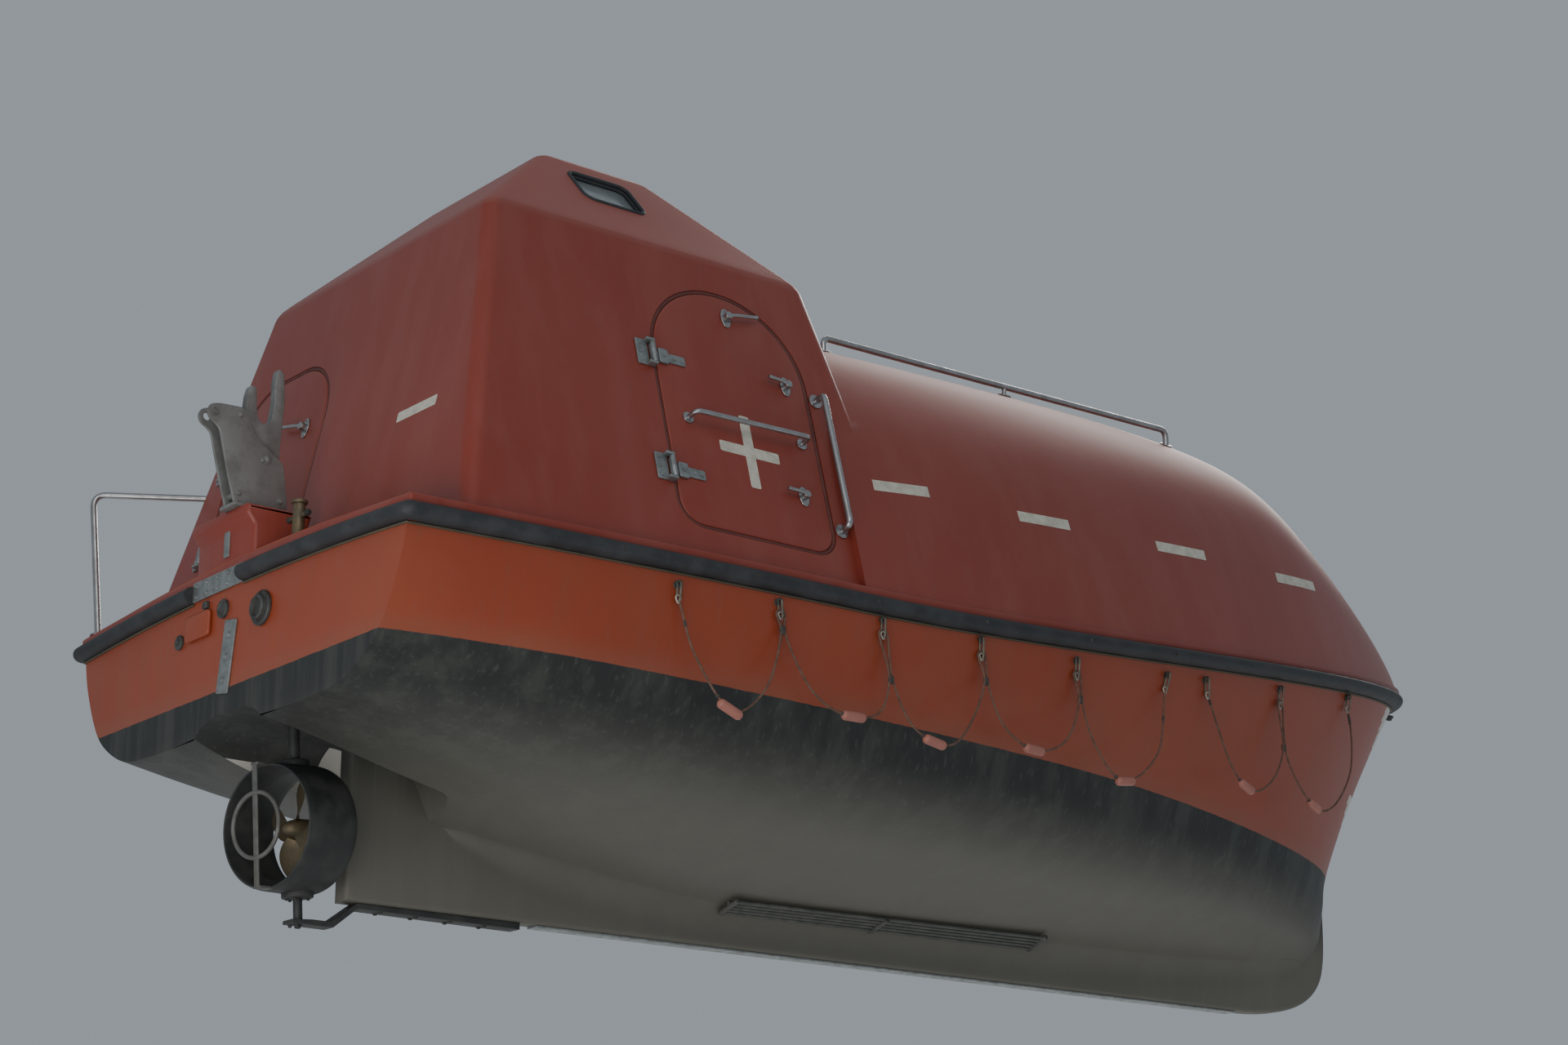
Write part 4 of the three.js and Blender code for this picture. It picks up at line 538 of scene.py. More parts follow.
def deck_block():
    """Everything below the gunwale and the cambered deck, half a millimetre proud of them, to
    trim what stands there."""
    edge = SKIN[::2, -1]
    edge = np.concatenate([edge[:1] * (0, 1, 1) - (0.2, 0, 0), edge, edge[-1:] * (0, 1, 1) + (7.2, 0, 0)])
    wide = np.stack([edge[:, 0], np.full(len(edge), 1.5), edge[:, 2]], -1)
    low = wide * (1, 1, 0) + (0, 0, 0.7)
    rows = np.concatenate([wide[:, None], edge[:, None], deck_rows(edge)], 1) + (0, 0, 0.0005)
    return mirrored_loft(np.concatenate([low[:, None], rows], 1))


def seated_on_deck(name, part):
    """A loose object trimmed to stand on the deck."""
    return worked(solid(name, [part]), [solid("below_deck", [deck_block()])], "DIFFERENCE")


# Canopy


def eased_run(distance, rounding):
    """A run that starts from nothing at zero, eased in over the rounding: (d + sqrt(d^2 + r^2)) / 2."""
    return (distance + np.hypot(distance, rounding)) / 2


def ridge(x):
    """A gentle climb from the cabin, then a fall to the bow, each run eased into the next."""
    climb_x, climb, climb_round = RIDGE_CLIMB
    fall_x, fall, fall_round = RIDGE_FALL
    return RIDGE_Z - climb * eased_run(climb_x - x, climb_round) - fall * eased_run(x - fall_x, fall_round)


def arch_share(share):
    """Half breadth over the foot's: a lean inwards times (1 - share^4)^0.45."""
    return (1 - ARCH_LEAN * share) * np.maximum(0, 1 - share ** ARCH_ROUND) ** ARCH_TIP


def arch_y(x, z, off=0.0):
    """Half breadth of the arch at a station and a height."""
    foot = line_height(x, GUNWALE) - FOOT_TRIM
    share = np.clip((z - foot) / (ridge(x) - foot), 0, 1)
    return (line_breadth(x, GUNWALE) - FOOT_INSET) * arch_share(share) + off


def arch_top(x, y):
    """Height of the arch at a station and a distance off the centreline, by table lookup."""
    share = np.sin(np.linspace(0, np.pi / 2, 400))
    foot = float(line_height(x, GUNWALE)) - FOOT_TRIM
    reach = (float(line_breadth(x, GUNWALE)) - FOOT_INSET) * arch_share(share)
    return foot + (float(ridge(x)) - foot) * float(np.interp(-abs(y), -reach, share))


def arch_rings(inset_by, drop, stations, steps):
    """Half rings of the arch, from its foot on the gunwale to the ridge."""
    x = np.linspace(ARCH_X0 + inset_by, ARCH_X1 - inset_by * 2.2, stations)
    x = x[0] + (x[-1] - x[0]) * np.sin(np.linspace(0, np.pi / 2, stations))
    foot_z = line_height(x, GUNWALE) - FOOT_TRIM
    top_z = np.maximum(foot_z + 0.020, ridge(x) - inset_by)
    foot_y = np.maximum(0.012, line_breadth(x, GUNWALE) - FOOT_INSET - inset_by)
    share = np.sin(np.linspace(0, np.pi / 2, steps + 1))
    y = np.maximum(0.004, foot_y[:, None] * arch_share(share))
    z = foot_z[:, None] + (top_z - foot_z)[:, None] * share
    rings = np.stack([np.repeat(x[:, None], steps + 1, 1), y, z], -1)
    if drop:
        foot = rings[:, :1] - np.array([0, 0, drop])
        rings = np.concatenate([foot, rings], 1)
    return rings


def cabin_rings(inset_by, corner_steps=12):
    """Rounded rectangles up a profile whose knuckles are rounded."""
    levels = CABIN_LEVELS.copy()
    levels[:, 0] -= np.where(levels[:, 0] > 1.3, inset_by * 0.6, 0)
    levels[:, 1] += inset_by
    levels[:, 2] -= inset_by
    levels[:, 3] -= inset_by
    levels[:, 4] = np.maximum(0.03, levels[:, 4] - inset_by)
    levels = bend(levels, 0.014, 4)
    rings = []
    for z, x0, x1, half_y, corner in levels:
        flat = rounded(x0, x1, -half_y, half_y, corner, steps=corner_steps)
        rings.append(np.column_stack([flat, np.full(len(flat), z)]))
    return np.array(rings)


class Wall:
    """A plane of the cabin: x along it to the right as seen from outside, y up its slope from its
    foot, z out of it."""

    def __init__(self, origin, along, up):
        self.origin = np.asarray(origin, float)
        along, up = np.asarray(along, float), unit(np.asarray(up, float))
        self.axes = np.stack([along, up, np.cross(along, up)], 1)

    def put(self, part):
        return moved(part, self.axes, self.origin)


# The cabin's planes, from its levels: foot and knuckle of the walls, eaves and roof of the panes
(WALL_FOOT_Z, FOOT_X, _, FOOT_Y, _), (KNUCKLE_Z, KNUCKLE_X, _, KNUCKLE_Y, _) = CABIN_LEVELS[1:3].tolist()
(EAVES_Z, _, EAVES_X, EAVES_Y, _), (ROOF_Z, _, ROOF_X, ROOF_Y, _) = CABIN_LEVELS[4:6].tolist()
PANE_IN, PANE_UP = EAVES_Y - ROOF_Y, ROOF_Z - EAVES_Z
SIDE_UP = (0, FOOT_Y - KNUCKLE_Y, KNUCKLE_Z - WALL_FOOT_Z)
AFT_UP = (KNUCKLE_X - FOOT_X, 0, KNUCKLE_Z - WALL_FOOT_Z)
STARBOARD = Wall((0, -FOOT_Y, WALL_FOOT_Z), (1, 0, 0), SIDE_UP)
PORT = Wall((0, FOOT_Y, WALL_FOOT_Z), (-1, 0, 0), (0, -SIDE_UP[1], SIDE_UP[2]))
AFT = Wall((FOOT_X, 0, WALL_FOOT_Z), (0, -1, 0), AFT_UP)
STARBOARD_PANE = Wall((0, -EAVES_Y, EAVES_Z), (1, 0, 0), (0, PANE_IN, PANE_UP))
PORT_PANE = Wall((0, EAVES_Y, EAVES_Z), (-1, 0, 0), (0, -PANE_IN, PANE_UP))
FRONT_PANE = Wall((EAVES_X, 0, EAVES_Z), (0, 1, 0), (ROOF_X - EAVES_X, 0, PANE_UP))

DOOR_THICK = 0.042
SIDE_DOOR = (1.262, 2.036, 0.172, 1.334, 0.380, 0.110)
AFT_DOOR = (-0.850, -0.095, 0.262, 1.075, 0.280, 0.050)
SIDE_WINDOW = (1.165, 1.465, 0.238, 0.472, 0.045, 0.045)
FRONT_WINDOW = (-0.330, -0.040, 0.130, 0.440, 0.040, 0.040)


def flipped(size):
    x0, x1, *rest = size
    return (-x1, -x0, *rest)


# name, wall, outline, side of the hinges, shares of the height where they sit
DOORS = [
    ("starboard_door", STARBOARD, SIDE_DOOR, -1, (0.20, 0.66)),
    ("port_door", PORT, flipped(SIDE_DOOR), 1, (0.20, 0.66)),
    ("aft_door", AFT, AFT_DOOR, -1, (0.10, 0.60)),
]
WINDOWS = [
    ("starboard_window", STARBOARD_PANE, SIDE_WINDOW),
    ("port_window", PORT_PANE, flipped(SIDE_WINDOW)),
    ("front_window_port", FRONT_PANE, flipped(FRONT_WINDOW)),
    ("front_window_starboard", FRONT_PANE, FRONT_WINDOW),
]
HATCH = (1.150, 1.580, -0.260, 0.260)
HOOK_WELL = (5.540, 6.070, 0.150, 1.900)
# Cuts through the shell: the gap round a door, how deep a doorway and a window are cut and how far
# out the cut starts, the wall round the hook's well and the lip under the hatch
DOORWAY_GAP, DOORWAY_IN, WINDOW_IN, CUT_OUT, WELL_WALL, HATCH_LIP = 0.012, -0.160, -0.200, 0.060, 0.040, 0.040


def grown(size, by):
    x0, x1, low, high, top, foot = size
    return rounded(x0 - by, x1 + by, low - by, high + by, top + by, foot + by, 16)


def make_canopy():
    """The arch and the cabin in one shell, hollow, with its doorways, windows, hatchway and well cut,
    and its foot trimmed to the deck."""
    canopy = solid("canopy_shell", [shell(cabin_rings(0.0))])
    worked(canopy, [solid("arch", [mirrored_loft(arch_rings(0.0, 0.0, 110, 40))])], "UNION")
    room = solid("room", [shell(cabin_rings(CANOPY_WALL, 6))])
    worked(room, [solid("arch_room", [mirrored_loft(arch_rings(CANOPY_WALL, 0.120, 40, 14))])], "UNION")
    x0, x1, half_y, floor_z = HOOK_WELL
    wells = [box_part(x0 - wall, x1 + wall, -half_y - wall, half_y + wall, floor_z - wall, 3.0, 0.01, 0.03)
             for wall in (WELL_WALL, 0.0)]
    worked(room, [solid("well_outer", wells[:1])], "DIFFERENCE")
    cutters = [room, solid("well_inner", wells[1:])]
    for name, wall_plane, size, *_ in DOORS:
        cutters.append(solid("cut", [wall_plane.put(plate(grown(size, DOORWAY_GAP), DOORWAY_IN, CUT_OUT, 0.0005, 1))]))
    for name, wall_plane, size in WINDOWS:
        cutters.append(solid("cut", [wall_plane.put(plate(grown(size, 0.0), WINDOW_IN, CUT_OUT, 0.0005, 1))]))
    hx0, hx1, hy0, hy1 = HATCH
    hatchway = box_part(hx0 + HATCH_LIP, hx1 - HATCH_LIP, hy0 + HATCH_LIP, hy1 - HATCH_LIP, 2.95, 3.20)
    cutters.append(solid("cut", [hatchway]))
    cutters.append(solid("foot", [deck_block()]))
    worked(canopy, cutters, "DIFFERENCE")
    finish_piece(canopy, CANOPY_PAINT, "boat", ["canopy"], 32)

    def is_inside(centre, normal):
        x, y, z = centre.T
        below_wall = FOOT_Y - (z - WALL_FOOT_Z) * SIDE_UP[1] / SIDE_UP[2] - np.abs(y)
        in_cabin = (x < ARCH_X0) & (below_wall > 0.044) & (x > 0.28 + (z - 1.2) * 0.22) & (z < 2.66)
        in_roof = (z > 2.6) & (normal[:, 2] < -0.2) & (x < 2.2)
        in_arch = (x >= ARCH_X0) & (arch_y(x, z) - np.abs(y) > 0.03) & (ridge(x) - z > 0.03)
        in_well = (x > 5.49) & (x < 6.12) & (np.abs(y) < 0.2) & (normal[:, 2] > -0.5)
        return (in_cabin | in_roof | in_arch) & ~in_well

    paint_inside(canopy, LINING, is_inside)


def bead(wall, outline, level, radius, sides=12):
    """A round gasket carried along an outline at a level of the wall."""
    path = np.column_stack([outline, np.full(len(outline), level)])
    return wall.put(swept(path, circle(radius, sides), (0, 0, 1), closed=True))


# Hinges: the barrel's line off the door's edge and off the wall, and its size; reaches from that
# line, half heights along it and heights off the wall of the strap, the plate raised on it, the
# block over the barrel, the fixed leaf and its two lugs
HINGE_OUT, BARREL_OUT, BARREL_RADIUS, BARREL_HALF = 0.016, 0.022, 0.011, 0.048
STRAP_REACH, STRAP_HALF, STRAP_TOP = (0.0, 0.165), 0.022, 0.008
RAISED_REACH, RAISED_HALF, RAISED_TOP = (0.030, 0.078), 0.034, 0.016
BLOCK_REACH, BLOCK_HALF, BLOCK_TOP = 0.012, 0.040, 0.028
LEAF_REACH, LEAF_HALF, LEAF_TOP = (0.017, 0.074), 0.060, 0.008
LUG_REACH, LUG_ENDS, LUG_THICK, LUG_TOP = (-0.009, 0.034), (-0.0603, 0.0483), 0.012, 0.033
LEAF_BOLTS = ((0.054, RAISED_TOP), (0.112, STRAP_TOP), (0.148, STRAP_TOP))
FIXED_BOLTS, FIXED_BOLT_REACH = (-0.042, 0.0, 0.042), 0.054


def make_door(name, wall, size, side, rows):
    """A moulded panel with rounded rims, its seal, and its hinges."""
    panel = wall.put(plate(grown(size, -0.006), -DOOR_THICK, 0.001, 0.009, 4))
    add_piece(name + "_panel", [panel], CANOPY_PAINT, name, [name])
    add_piece(name + "_seal", [bead(wall, grown(size, 0.0035), -0.010, 0.0098)], SEAL, "boat")
    axis = (size[0] if side < 0 else size[1]) + side * HINGE_OUT
    for label, share in zip(("lower", "upper"), rows):
        y = size[2] + share * (size[3] - size[2])
        make_hinge(f"{name}_hinge_{label}", name, wall, axis, side, y)


def make_hinge(node, body, wall, axis, side, y):
    """A strap with a block over the barrel, and the fixed leaf between two lugs."""
    def strip(reach, way, low, high, corner, steps=4):
        near, far = (axis + way * r for r in reach)
        return rounded(min(near, far), max(near, far), low, high, corner, steps=steps)

    strap = strip(STRAP_REACH, -side, y - STRAP_HALF, y + STRAP_HALF, 0.006)
    block = rounded(axis - BLOCK_REACH, axis + BLOCK_REACH, y - BLOCK_HALF, y + BLOCK_HALF, 0.004, steps=4)
    raised = strip(RAISED_REACH, -side, y - RAISED_HALF, y + RAISED_HALF, 0.008)
    parts = [plate(strap, 0.0015, STRAP_TOP, 0.002), plate(block, 0.006, BLOCK_TOP, 0.004),
             plate(raised, 0.0015, RAISED_TOP, 0.004),
             pin((axis, y - BARREL_HALF, BARREL_OUT), (axis, y + BARREL_HALF, BARREL_OUT), BARREL_RADIUS)]
    for along, level in LEAF_BOLTS:
        parts += bolt((axis - side * along, y, level), (0, 0, 1), 0.0075, 0.006)
    add_piece(node + "_leaf", [wall.put(p) for p in parts], GALVANISED, body, [node])
    leaf = strip(LEAF_REACH, side, y - LEAF_HALF, y + LEAF_HALF, 0.006)
    fixed = [plate(leaf, 0.0005, LEAF_TOP, 0.002)]
    for end in LUG_ENDS:
        lug = strip(LUG_REACH, side, y + end, y + end + LUG_THICK, 0.003, 3)
        fixed.append(plate(lug, 0.0005, LUG_TOP, 0.003))
    for across in FIXED_BOLTS:
        fixed += bolt((axis + side * FIXED_BOLT_REACH, y + across, LEAF_TOP), (0, 0, 1), 0.0065, 0.005)
    add_piece(node + "_base", [wall.put(p) for p in fixed], GALVANISED, "boat")


# The door dogs: x and y of the boss, the lever's length and its turn
SIDE_DOGS = ((1.674, 1.227, 0.155, 0.19), (1.929, 0.956, 0.100, 3.02), (1.912, 0.424, 0.095, 3.07))
AFT_DOG = (-0.228, 0.764, 0.200, 2.91)
BASE_HALF, BOSS_RADIUS, LEVER_RADIUS, LEVER_OUT, LEVER_KNEE = (0.025, 0.046), 0.017, 0.0078, 0.026, 0.035


def make_dog(node, body, wall, dog, mirrored=False):
    """An oval base with a boss and a bent lever with a rounded tip."""
    x, y, reach, turn = dog
    if mirrored:
        x, turn = -x, math.pi - turn
    base = plate(circle(1.0, 32) * BASE_HALF + (x, y), 0.0016, 0.007, 0.0025)
    boss = pin((x, y, 0.004), (x, y, 0.034), BOSS_RADIUS, 0.2, 28)
    along = np.array([math.cos(turn), math.sin(turn), 0.0])
    start = np.array([x, y, LEVER_OUT])
    normal = np.cross(along, (0, 0, 1))
    knee, end = start + along * LEVER_KNEE + (0, 0, 0.006), start + along * (reach - 0.004) + (0, 0, 0.002)
    lever = tube([start, knee, end], LEVER_RADIUS, 0.02, normal)
    tip = start + along * (reach - 0.016) + (0, 0, 0.0025)
    parts = [base, boss, lever, pin(tip, tip + along * 0.018, 0.0088, 0.4, 18)]
    for dy in (-0.034, 0.034):
        parts += bolt((x, y + dy, 0.007), (0, 0, 1), 0.0045, 0.004)
    add_piece(node + "_lever", [wall.put(p) for p in parts], STAINLESS, body, [node])


def make_grip(node, body, wall, ends, radius, bend_radius):
    """A bent bar on two flanges: ends are (x, y) of each foot and its height off the wall."""
    (xa, ya), (xb, yb), out = ends
    points = [(xa, ya, 0.0016), (xa, ya, out), (xb, yb, out), (xb, yb, 0.0016)]
    across = np.cross(np.array([xb - xa, yb - ya, 0.0]), (0, 0, 1.0))
    parts = [tube(points, radius, bend_radius, unit(across), sides=20, steps=10)]
    for x, y in ((xa, ya), (xb, yb)):
        parts.append(pin((x, y, 0.0015), (x, y, 0.008), radius * 2.3))
        for dx in (-1, 1):
            parts += bolt((x + dx * radius * 1.7, y, 0.008), (0, 0, 1), 0.0035, 0.003)
    add_piece(node + "_bar", [wall.put(p) for p in parts], POLISHED, body, [node])


def make_doors():
    """The three doors with their dogs and bars, and the rails beside the side doors."""
    for door in DOORS:
        make_door(*door)
    for i, dog in enumerate(SIDE_DOGS):
        make_dog(f"starboard_door_dog_{i + 1}", "starboard_door", STARBOARD, dog)
        make_dog(f"port_door_dog_{i + 1}", "port_door", PORT, dog, True)
    make_dog("aft_door_dog", "aft_door", AFT, AFT_DOG)
    for side, wall, sign in (("starboard", STARBOARD, 1), ("port", PORT, -1)):
        bar = ((sign * 1.378, 0.671), (sign * 1.957, 0.684), 0.062)
        make_grip(f"{side}_door_bar", f"{side}_door", wall, bar, 0.011, 0.040)
        rail = ((sign * 2.080, 0.298), (sign * 2.080, 0.922), 0.062)
        make_grip(f"side_rail_{side}", "boat", wall, rail, 0.014, 0.040)


def make_windows():
    """Panes set into the shell, each with two round gaskets carried along its outline."""
    for name, wall, size in WINDOWS:
        pane = wall.put(plate(grown(size, -0.0005), -0.030, -0.022, 0.002))
        add_piece(name + "_pane", [pane], GLASS, "boat", [name])
        beads = [bead(wall, grown(size, 0.002), -0.001, 0.0095),
                 bead(wall, grown(size, -0.006), -0.015, 0.008, 10)]
        add_piece(name + "_gasket", beads, RUBBER, "boat")


def make_hatch():
    """A rounded lid with a raised middle."""
    x0, x1, y0, y1 = HATCH
    lid = plate(rounded(x0, x1, y0, y1, 0.060), 3.1503, 3.184, 0.014, 5)
    raised = plate(rounded(x0 + 0.06, x1 - 0.06, y0 + 0.06, y1 - 0.06, 0.045), 3.180, 3.1838, 0.002)
    add_piece("roof_hatch_lid", [lid, raised], CANOPY_PAINT, "roof_hatch", ["roof_hatch"])


# Fender and gunwale

FENDER_DROP, FENDER_HALF, FENDER_CAMBER, FENDER_TURN_X, FENDER_PROUD = 0.062, 0.034, 0.045, 0.115, 0.048
FENDER_BOLTS = np.arange(0.9, 6.5, 0.62)
LIP_DROPS, STRIP_DROPS = (0.0275, 0.0), (0.106, 0.0965)
STERN_PLATE = (-0.080, 0.320, 1.152, 1.232)


def outward(path):
    """Directions in plan square to a path that runs forward on the port side."""
    along = unit(np.gradient(path[:, :2], axis=0))
    return np.stack([-along[:, 1], along[:, 0]], -1)


def side_band(low_drop, high_drop):
    """Lower and upper edges of a band along the skin, from the transom's corner to the stem, with
    its outward directions: square to the hull at the start and straight ahead at the stem."""
    low, high = skin_at(low_drop), skin_at(high_drop)
    first = int(np.argmax(high[:, 0] > FENDER_TURN_X))
    edges = []
    for edge in (low, high):
        share = (FENDER_TURN_X - edge[first - 1, 0]) / (edge[first, 0] - edge[first - 1, 0])
        start = edge[first - 1] + (edge[first] - edge[first - 1]) * share
        tip = edge[-1] * (1, 0, 1) + (0.0015, 0.0003, 0)
        edges.append(np.concatenate([[start], edge[first:], [tip]]))
    out = outward(edges[1])
    out[0], out[-1] = (0, 1), (1, 0)
    return edges[0], edges[1], out


def stern_band(low_drop, high_drop, inner_y):
    """The same over the transom: from the middle out, cambered by 1 - (y / breadth)^2, round the
    corner on a fan, and along to where the side band starts."""
    low, high = skin_at(low_drop), skin_at(high_drop)
    corner_y = max(low[0, 1], high[0, 1]) + 0.0005
    y = np.concatenate([np.linspace(inner_y, corner_y, 24), np.full(12, corner_y)])
    angle = np.linspace(0, np.pi / 2, 13)[1:]
    out = np.concatenate([np.tile((-1.0, 0.0), (24, 1)), np.stack([-np.cos(angle), np.sin(angle)], 1)])
    side_low, side_high, _ = side_band(low_drop, high_drop)
    edges = []
    for corner, side in ((low[0], side_low[0]), (high[0], side_high[0])):
        z = corner[2] + FENDER_CAMBER * (1 - (y / corner_y) ** 2)
        run = np.stack([np.full_like(y, -0.0005), y, z], -1)
        edges.append(np.concatenate([run, [side + (-0.0003, 0.0005, 0)]]))
    return edges[0], edges[1], np.concatenate([out, [(0, 1)]])


def band_part(band, section, side):
    """A section of (off the skin, share from the lower edge to the upper) carried along a band."""
    low, high, out = band
    flip = np.array([1, side, 1])
    section = np.asarray(section, float)
    off, up = section[None, :, :1], section[None, :, 1:]
    out = np.column_stack([out, np.zeros(len(out))])[:, None]
    grid = (low[:, None] * (1 - up) + high[:, None] * up + out * off) * flip
    return shell(grid)


def d_section(base=0.010, proud=FENDER_PROUD, steps=24):
    """A D: flat behind, bulging in front as a half circle."""
    angle = np.linspace(-np.pi / 2, np.pi / 2, steps)
    bulge = np.stack([base + (proud - base) * np.cos(angle), (1 + np.sin(angle)) / 2], 1)
    return np.concatenate([[(0.0005, 0)], bulge, [(0.0005, 1)]])


LIP_SECTION = [(0.0005, 0.0), (0.0075, 0.02), (0.0095, 0.55), (0.0085, 0.90), (0.0045, 1.12), (-0.0015, 1.16),
               (-0.0015, 1.02), (0.0005, 1.02)]
STRIP_SECTION = [(0.0005, 0.0), (0.0060, 0.05), (0.0090, 0.5), (0.0060, 0.95), (0.0005, 1.0)]


def make_fenders():
    """The D-shaped fenders on the sides and the transom, the painted rim above them, the strip below
    and their bolts."""
    drops = (FENDER_DROP + FENDER_HALF, FENDER_DROP - FENDER_HALF)
    side_run = side_band(*drops)
    for label, side, inner in (("port", 1, STERN_PLATE[1]), ("starboard", -1, -STERN_PLATE[0])):
        add_piece(f"fender_{label}_rubber", [band_part(side_run, d_section(), side)],
                  RUBBER, "boat", [f"fender_{label}"], sharp=50)
        add_piece(f"fender_stern_{label}_rubber", [band_part(stern_band(*drops, inner), d_section(), side)],
                  RUBBER, "boat", [f"fender_stern_{label}"], sharp=50)
        lip = [band_part(side_band(*LIP_DROPS), LIP_SECTION, side),
               band_part(stern_band(*LIP_DROPS, 0.0002), LIP_SECTION, side)]
        add_piece(f"gunwale_lip_{label}", lip, CANOPY_PAINT, "boat")
        strip = [band_part(side_band(*STRIP_DROPS), STRIP_SECTION, side),
                 band_part(stern_band(*STRIP_DROPS, inner), STRIP_SECTION, side)]
        add_piece(f"fender_strip_{label}", strip, STRIP, "boat")
        low, high, out = side_run
        bolts = []
        for x in FENDER_BOLTS:
            i = int(np.argmin(np.abs(high[:, 0] - x)))
            direction = np.array([*out[i], 0.0])
            at = (low[i] + high[i]) / 2 + direction * (FENDER_PROUD - 0.0005)
            bolts += bolt(at * (1, side, 1), direction * (1, side, 1), 0.0075, 0.003)
        add_piece(f"fender_bolts_{label}", bolts, GALVANISED_DARK, "boat")


def make_stern_plate():
    """The steel plate between the transom's two fenders, with two rows of bolts."""
    y0, y1, z0, z1 = STERN_PLATE
    outline = rounded(y0 + 0.0005, y1 - 0.0005, z0, z1, 0.004, steps=3)
    parts = [aft_plate(outline, 0.001, 0.011)]
    for y in (-0.050, 0.035, 0.120, 0.205, 0.290):
        for dz in (-0.022, 0.022):
            parts += bolt((-0.011, y, (z0 + z1) / 2 + dz), (-1, 0, 0), 0.007, 0.006)
    add_piece("stern_plate_steel", parts, GALVANISED, "boat", ["stern_plate"])


# Stern gear

TILT_COS, TILT_SIN = math.cos(SHAFT_TILT), math.sin(SHAFT_TILT)
SHAFT_AXES = np.array([[TILT_COS, 0, -TILT_SIN], [0, 1, 0], [TILT_SIN, 0, TILT_COS]])
TURN_AXES = np.array([[math.cos(NOZZLE_TURN), -math.sin(NOZZLE_TURN), 0],
                      [math.sin(NOZZLE_TURN), math.cos(NOZZLE_TURN), 0], [0, 0, 1]])
STOCK_FOOT = (STOCK_X, 0, SHAFT_Z)
NOZZLE_AFT, NOZZLE_OUTER = -0.155, 0.252


def on_shaft(parts):
    """Parts drawn about the stock's middle, with x along the shaft."""
    return [moved(part, SHAFT_AXES, STOCK_FOOT) for part in parts]


def on_stock(parts):
    """Parts drawn for a straight nozzle, turned as it rests."""
    return [moved(part, SHAFT_AXES @ TURN_AXES, STOCK_FOOT) for part in parts]


def make_nozzle():
    """A duct whose closed profile is turned about the shaft, its stock and flanges, and the guard."""
    profile = bend([(0.000, 0.2365), (0.000, 0.240), (0.030, 0.246), (0.215, 0.252), (0.240, 0.246), (0.255, 0.232),
                    (0.243, 0.218), (0.215, 0.210), (0.120, 0.212), (0.030, 0.228), (0.000, 0.233),
                    (0.000, 0.2365)], 0.010, 3)[:-1]
    duct = ring_turned(profile, (NOZZLE_AFT, 0, 0), (1, 0, 0), 96)
    guard_x, outer = NOZZLE_AFT - 0.052, NOZZLE_OUTER
    ring_path = hoop((guard_x, 0, 0), 0.125, (0, 1, 0), (0, 0, 1), 72)
    roof = (TUNNEL_ROOF_Z - SHAFT_Z) / TILT_COS - 0.0022
    palm = (PALM_Z - SHAFT_Z) / TILT_COS + 0.0005
    upper_flange, lower_flange, sunk = 0.016, 0.014, outer - 0.014
    dark = [
        duct,
        pin((0, 0, sunk), (0, 0, roof), 0.022, 0.04, 32),
        pin((0, 0, sunk), (0, 0, outer + upper_flange), 0.058, 0.08, 40),
        pin((0, 0, -sunk), (0, 0, -outer - lower_flange), 0.062, 0.08, 40),
        pin((0, 0, -outer), (0, 0, palm), 0.018, 0.05, 28),
    ]
    for z, up in ((outer + upper_flange, 1), (-outer - lower_flange, -1)):
        dark += bolt_ring((0, 0, z), (0, 0, up), (1, 0, 0), (0, 1, 0), 0.042, 0.0065, 0.008)
    light = [
        swept(ring_path, circle(0.009, 14), (1, 0, 0), closed=True),
        box_part(guard_x - 0.004, guard_x + 0.004, -0.013, 0.013, -0.236, 0.236, 0.002, 0.002),
        box_part(guard_x - 0.004, NOZZLE_AFT + 0.030, -0.020, 0.020, 0.232, 0.242, 0.002, 0.003),
        box_part(guard_x - 0.004, NOZZLE_AFT + 0.030, -0.020, 0.020, -0.242, -0.232, 0.002, 0.003),
    ]
    add_piece("nozzle_duct", on_stock(dark), DARK_STEEL, "steering_nozzle", ["steering_nozzle"])
    add_piece("nozzle_guard", on_stock(light), GUARD_STEEL, "steering_nozzle")


def blade_part(turn):
    """A twisted plate: pitch falls from hub to tip, and its section is a thin lens."""
    root, tip = 0.026, 0.188
    share = np.linspace(0, 1, 24)[:, None]
    radius = root + (tip - root) * share
    chord = (0.034 + 0.100 * np.sin(np.pi * (0.04 + 0.8 * share))) * np.sqrt(np.clip(1.02 - share ** 6, 0.02, 1))
    pitch = np.arctan2(0.230, 2 * np.pi * np.maximum(radius, 0.040))
    around = np.linspace(0, 2 * np.pi, 20, endpoint=False)[None]
    a = 0.5 * np.cos(around) * chord
    t = 0.5 * np.sin(around) * (0.009 - 0.005 * share)
    x = np.sin(pitch) * a + np.cos(pitch) * t
    y = np.cos(pitch) * a - np.sin(pitch) * t
    z = np.repeat(radius, around.shape[1], 1)
    c, s = math.cos(turn), math.sin(turn)
    grid = np.stack([x, c * y - s * z, s * y + c * z], -1)
    return shell(grid)


